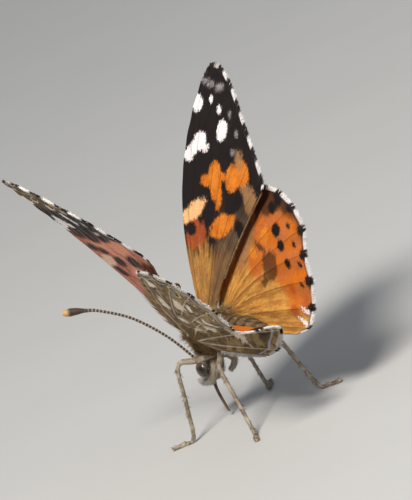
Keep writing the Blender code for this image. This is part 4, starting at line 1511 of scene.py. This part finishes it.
def standing_leg(hip, knee, ankle, toe):
    """Thigh, shin and the foot's five joints, ending on the floor."""
    low = FOOT_RADIUS * 0.8
    heel = np.array([ankle[0], ankle[1], low + 0.35])
    middle = heel + (np.array([toe[0], toe[1], low]) - heel) * 0.45
    middle[2] = low
    path = smooth_path((
        (hip, LEG_RADIUS * 0.8),
        (hip + (knee - hip) * 0.5, LEG_RADIUS * 0.95),
        (knee, LEG_RADIUS * 0.62),
        (knee + (heel - knee) * 0.5, LEG_RADIUS * 0.55),
        (heel, FOOT_RADIUS * 0.75),
        (middle, FOOT_RADIUS * 0.85),
        (np.array([toe[0], toe[1], low]), FOOT_RADIUS * 0.8),
    ), 12)
    jointed = []
    for i, (place, radius) in enumerate(path):
        share = i / (len(path) - 1)
        joint = 0.10 * math.cos(2 * math.pi * 5 * (share - 0.66) / 0.34) if share > 0.66 else 0.0
        jointed.append((place, radius * (1 + joint)))
    return jointed


def dress_legs():
    """Two pairs that stand, and the small brushy forelegs."""
    skin = limb_finish("scaled leg", (0.16, 0.115, 0.075), (0.50, 0.42, 0.32))
    hair = strand_finish("leg hair", (0.10, 0.07, 0.045), (0.36, 0.29, 0.21), (0.66, 0.58, 0.46))
    spine = strand_finish("leg spines", (0.03, 0.02, 0.014), (0.08, 0.05, 0.03), (0.16, 0.10, 0.06), 0.4)
    rng = np.random.default_rng(53)
    for word, side in SIDES:
        across = np.array([1.0, side, 1.0])
        hip = body_point(1.0, side * 0.9, -3.9)
        ankle = np.array([hip[0] + 3.9, ROOT[1] + side * 6.2, 0.0])
        middle = standing_leg(hip, hip + across * (2.6, 3.6, 0.5), ankle, ankle + across * (2.0, 1.9, 0.0))
        hip = body_point(-1.3, side * 0.9, -4.2)
        ankle = np.array([hip[0] - 5.6, ROOT[1] + side * 5.4, 0.0])
        rear = standing_leg(hip, hip + across * (-3.2, 3.4, -1.3), ankle, ankle + across * (-2.3, 1.5, 0.0))
        hip = body_point(1.9, side * 0.75, -3.9)
        front = smooth_path((
            (hip, 0.3),
            (hip + across * (-0.25, 0.75, -1.25), 0.3),
            (hip + across * (0.35, 0.95, -2.15), 0.26),
            (hip + across * (1.15, 0.85, -2.75), 0.16),
        ), 10)
        for kind, path in (("midleg", middle), ("hindleg", rear), ("foreleg", front)):
            name = kind + "_" + word
            piece = add_tube(name + "_limb", path, 16, floor=0.0)
            piece.data.materials.append(skin)
            settle(piece, "leg", name)
            brushy = kind == "foreleg"
            roots = brush_roots(path, rng, 1200 if brushy else 2200, 0.6 if brushy else 0.3, 0.36, (0.2, 1.0))
            grow_coat(name + "_hair", above_floor(roots), hair, "leg", 0.045, 0.04)
            if not brushy:
                shin = path[len(path) // 3:]
                roots = brush_roots(shin, rng, 70, 0.5, 0.8, (0.0, 1.0))
                grow_coat(name + "_spines", above_floor(roots), spine, "leg", 0.06, 0.04)


def above_floor(roots):
    """Leaves out the strands that would reach under the floor."""
    tips = roots["points"] + roots["lie"] * roots["length"][:, None] * 1.2
    keep = np.minimum(tips[:, 2], roots["points"][:, 2]) > 0.03
    return {key: value[keep] for key, value in roots.items()}


# Floor, lights and camera

def add_stage():
    """A plain pale floor and soft studio light."""
    floor = new_piece("floor", [(-3000, -3000, 0), (3000, -3000, 0), (3000, 3000, 0), (-3000, 3000, 0)], [(0, 1, 2, 3)])
    finish, make, shader = new_finish("pale floor", 0.85)
    coords = make.node("ShaderNodeTexCoord").outputs["Object"]
    tint = make.blend(make.noise(coords, 40.0, 2.0), (0.50, 0.50, 0.49), (0.53, 0.53, 0.52))
    make.feed(shader.inputs["Base Color"], tint)
    floor.data.materials.append(finish)
    world = bpy.data.worlds.new("studio")
    world.use_nodes = True
    ambient = world.node_tree.nodes["Background"]
    ambient.inputs["Color"].default_value = (0.80, 0.88, 1.0, 1.0)
    ambient.inputs["Strength"].default_value = 0.26
    bpy.context.scene.world = world
    bpy.context.scene.view_settings.view_transform = "Standard"
    add_light("key", (-0.26, 0.32, 0.56), 0.2, 5.8, (1.0, 0.95, 0.88))
    add_light("fill", (-0.55, 0.10, 0.30), 0.5, 0.35, (0.90, 0.95, 1.0))
    add_light("rim", (0.45, -0.40, 0.35), 0.4, 0.35, (1.0, 0.97, 0.92))


def add_light(name, place, size, power, colour):
    """A square soft light aimed at the wings."""
    lamp = bpy.data.lights.new(name, "AREA")
    lamp.size = size
    lamp.energy = power
    lamp.color = colour
    light = bpy.data.objects.new(name, lamp)
    light.location = place
    aim = Vector((0.0, 0.0, 0.018)) - Vector(place)
    light.rotation_euler = aim.to_track_quat("-Z", "Y").to_euler()
    bpy.context.scene.collection.objects.link(light)


CAMERA_YAW = math.radians(31.5)
CAMERA_HEIGHT_ANGLE = math.radians(12.5)
CAMERA_ROLL = math.radians(26.4)
CAMERA_DISTANCE = 0.5
PIXELS_PER_METRE = 8500.0
ANCHOR_PIXEL = (200.1, 322.2)
PHOTO_SIZE = (412, 500)
SENSOR_MM = 36.0


def add_camera():
    """A camera at the photograph's angle, rolled as the insect leans in it."""
    level = math.cos(CAMERA_HEIGHT_ANGLE)
    back = Vector((-level * math.cos(CAMERA_YAW), level * math.sin(CAMERA_YAW), math.sin(CAMERA_HEIGHT_ANGLE)))
    right = Vector((0, 0, 1)).cross(back).normalized()
    up = back.cross(right)
    tilted_up = up * math.cos(CAMERA_ROLL) + right * math.sin(CAMERA_ROLL)
    tilted_right = right * math.cos(CAMERA_ROLL) - up * math.sin(CAMERA_ROLL)
    across = (PHOTO_SIZE[0] / 2 - ANCHOR_PIXEL[0]) / PIXELS_PER_METRE
    above = (ANCHOR_PIXEL[1] - PHOTO_SIZE[1] / 2) / PIXELS_PER_METRE
    place = Vector(ROOT * MM) + tilted_right * across + tilted_up * above + back * CAMERA_DISTANCE
    lens = bpy.data.cameras.new("photo camera")
    lens.sensor_width = SENSOR_MM
    lens.lens = SENSOR_MM * PIXELS_PER_METRE * CAMERA_DISTANCE / PHOTO_SIZE[1]
    lens.clip_start = 0.01
    camera = bpy.data.objects.new("photo camera", lens)
    axes = Matrix((tilted_right, tilted_up, back)).transposed().to_4x4()
    camera.matrix_world = Matrix.Translation(place) @ axes
    bpy.context.scene.collection.objects.link(camera)
    bpy.context.scene.camera = camera


dress_wings()
dress_body()
dress_head()
dress_legs()
bpy.data.objects.remove(STRAND)
add_stage()
add_camera()
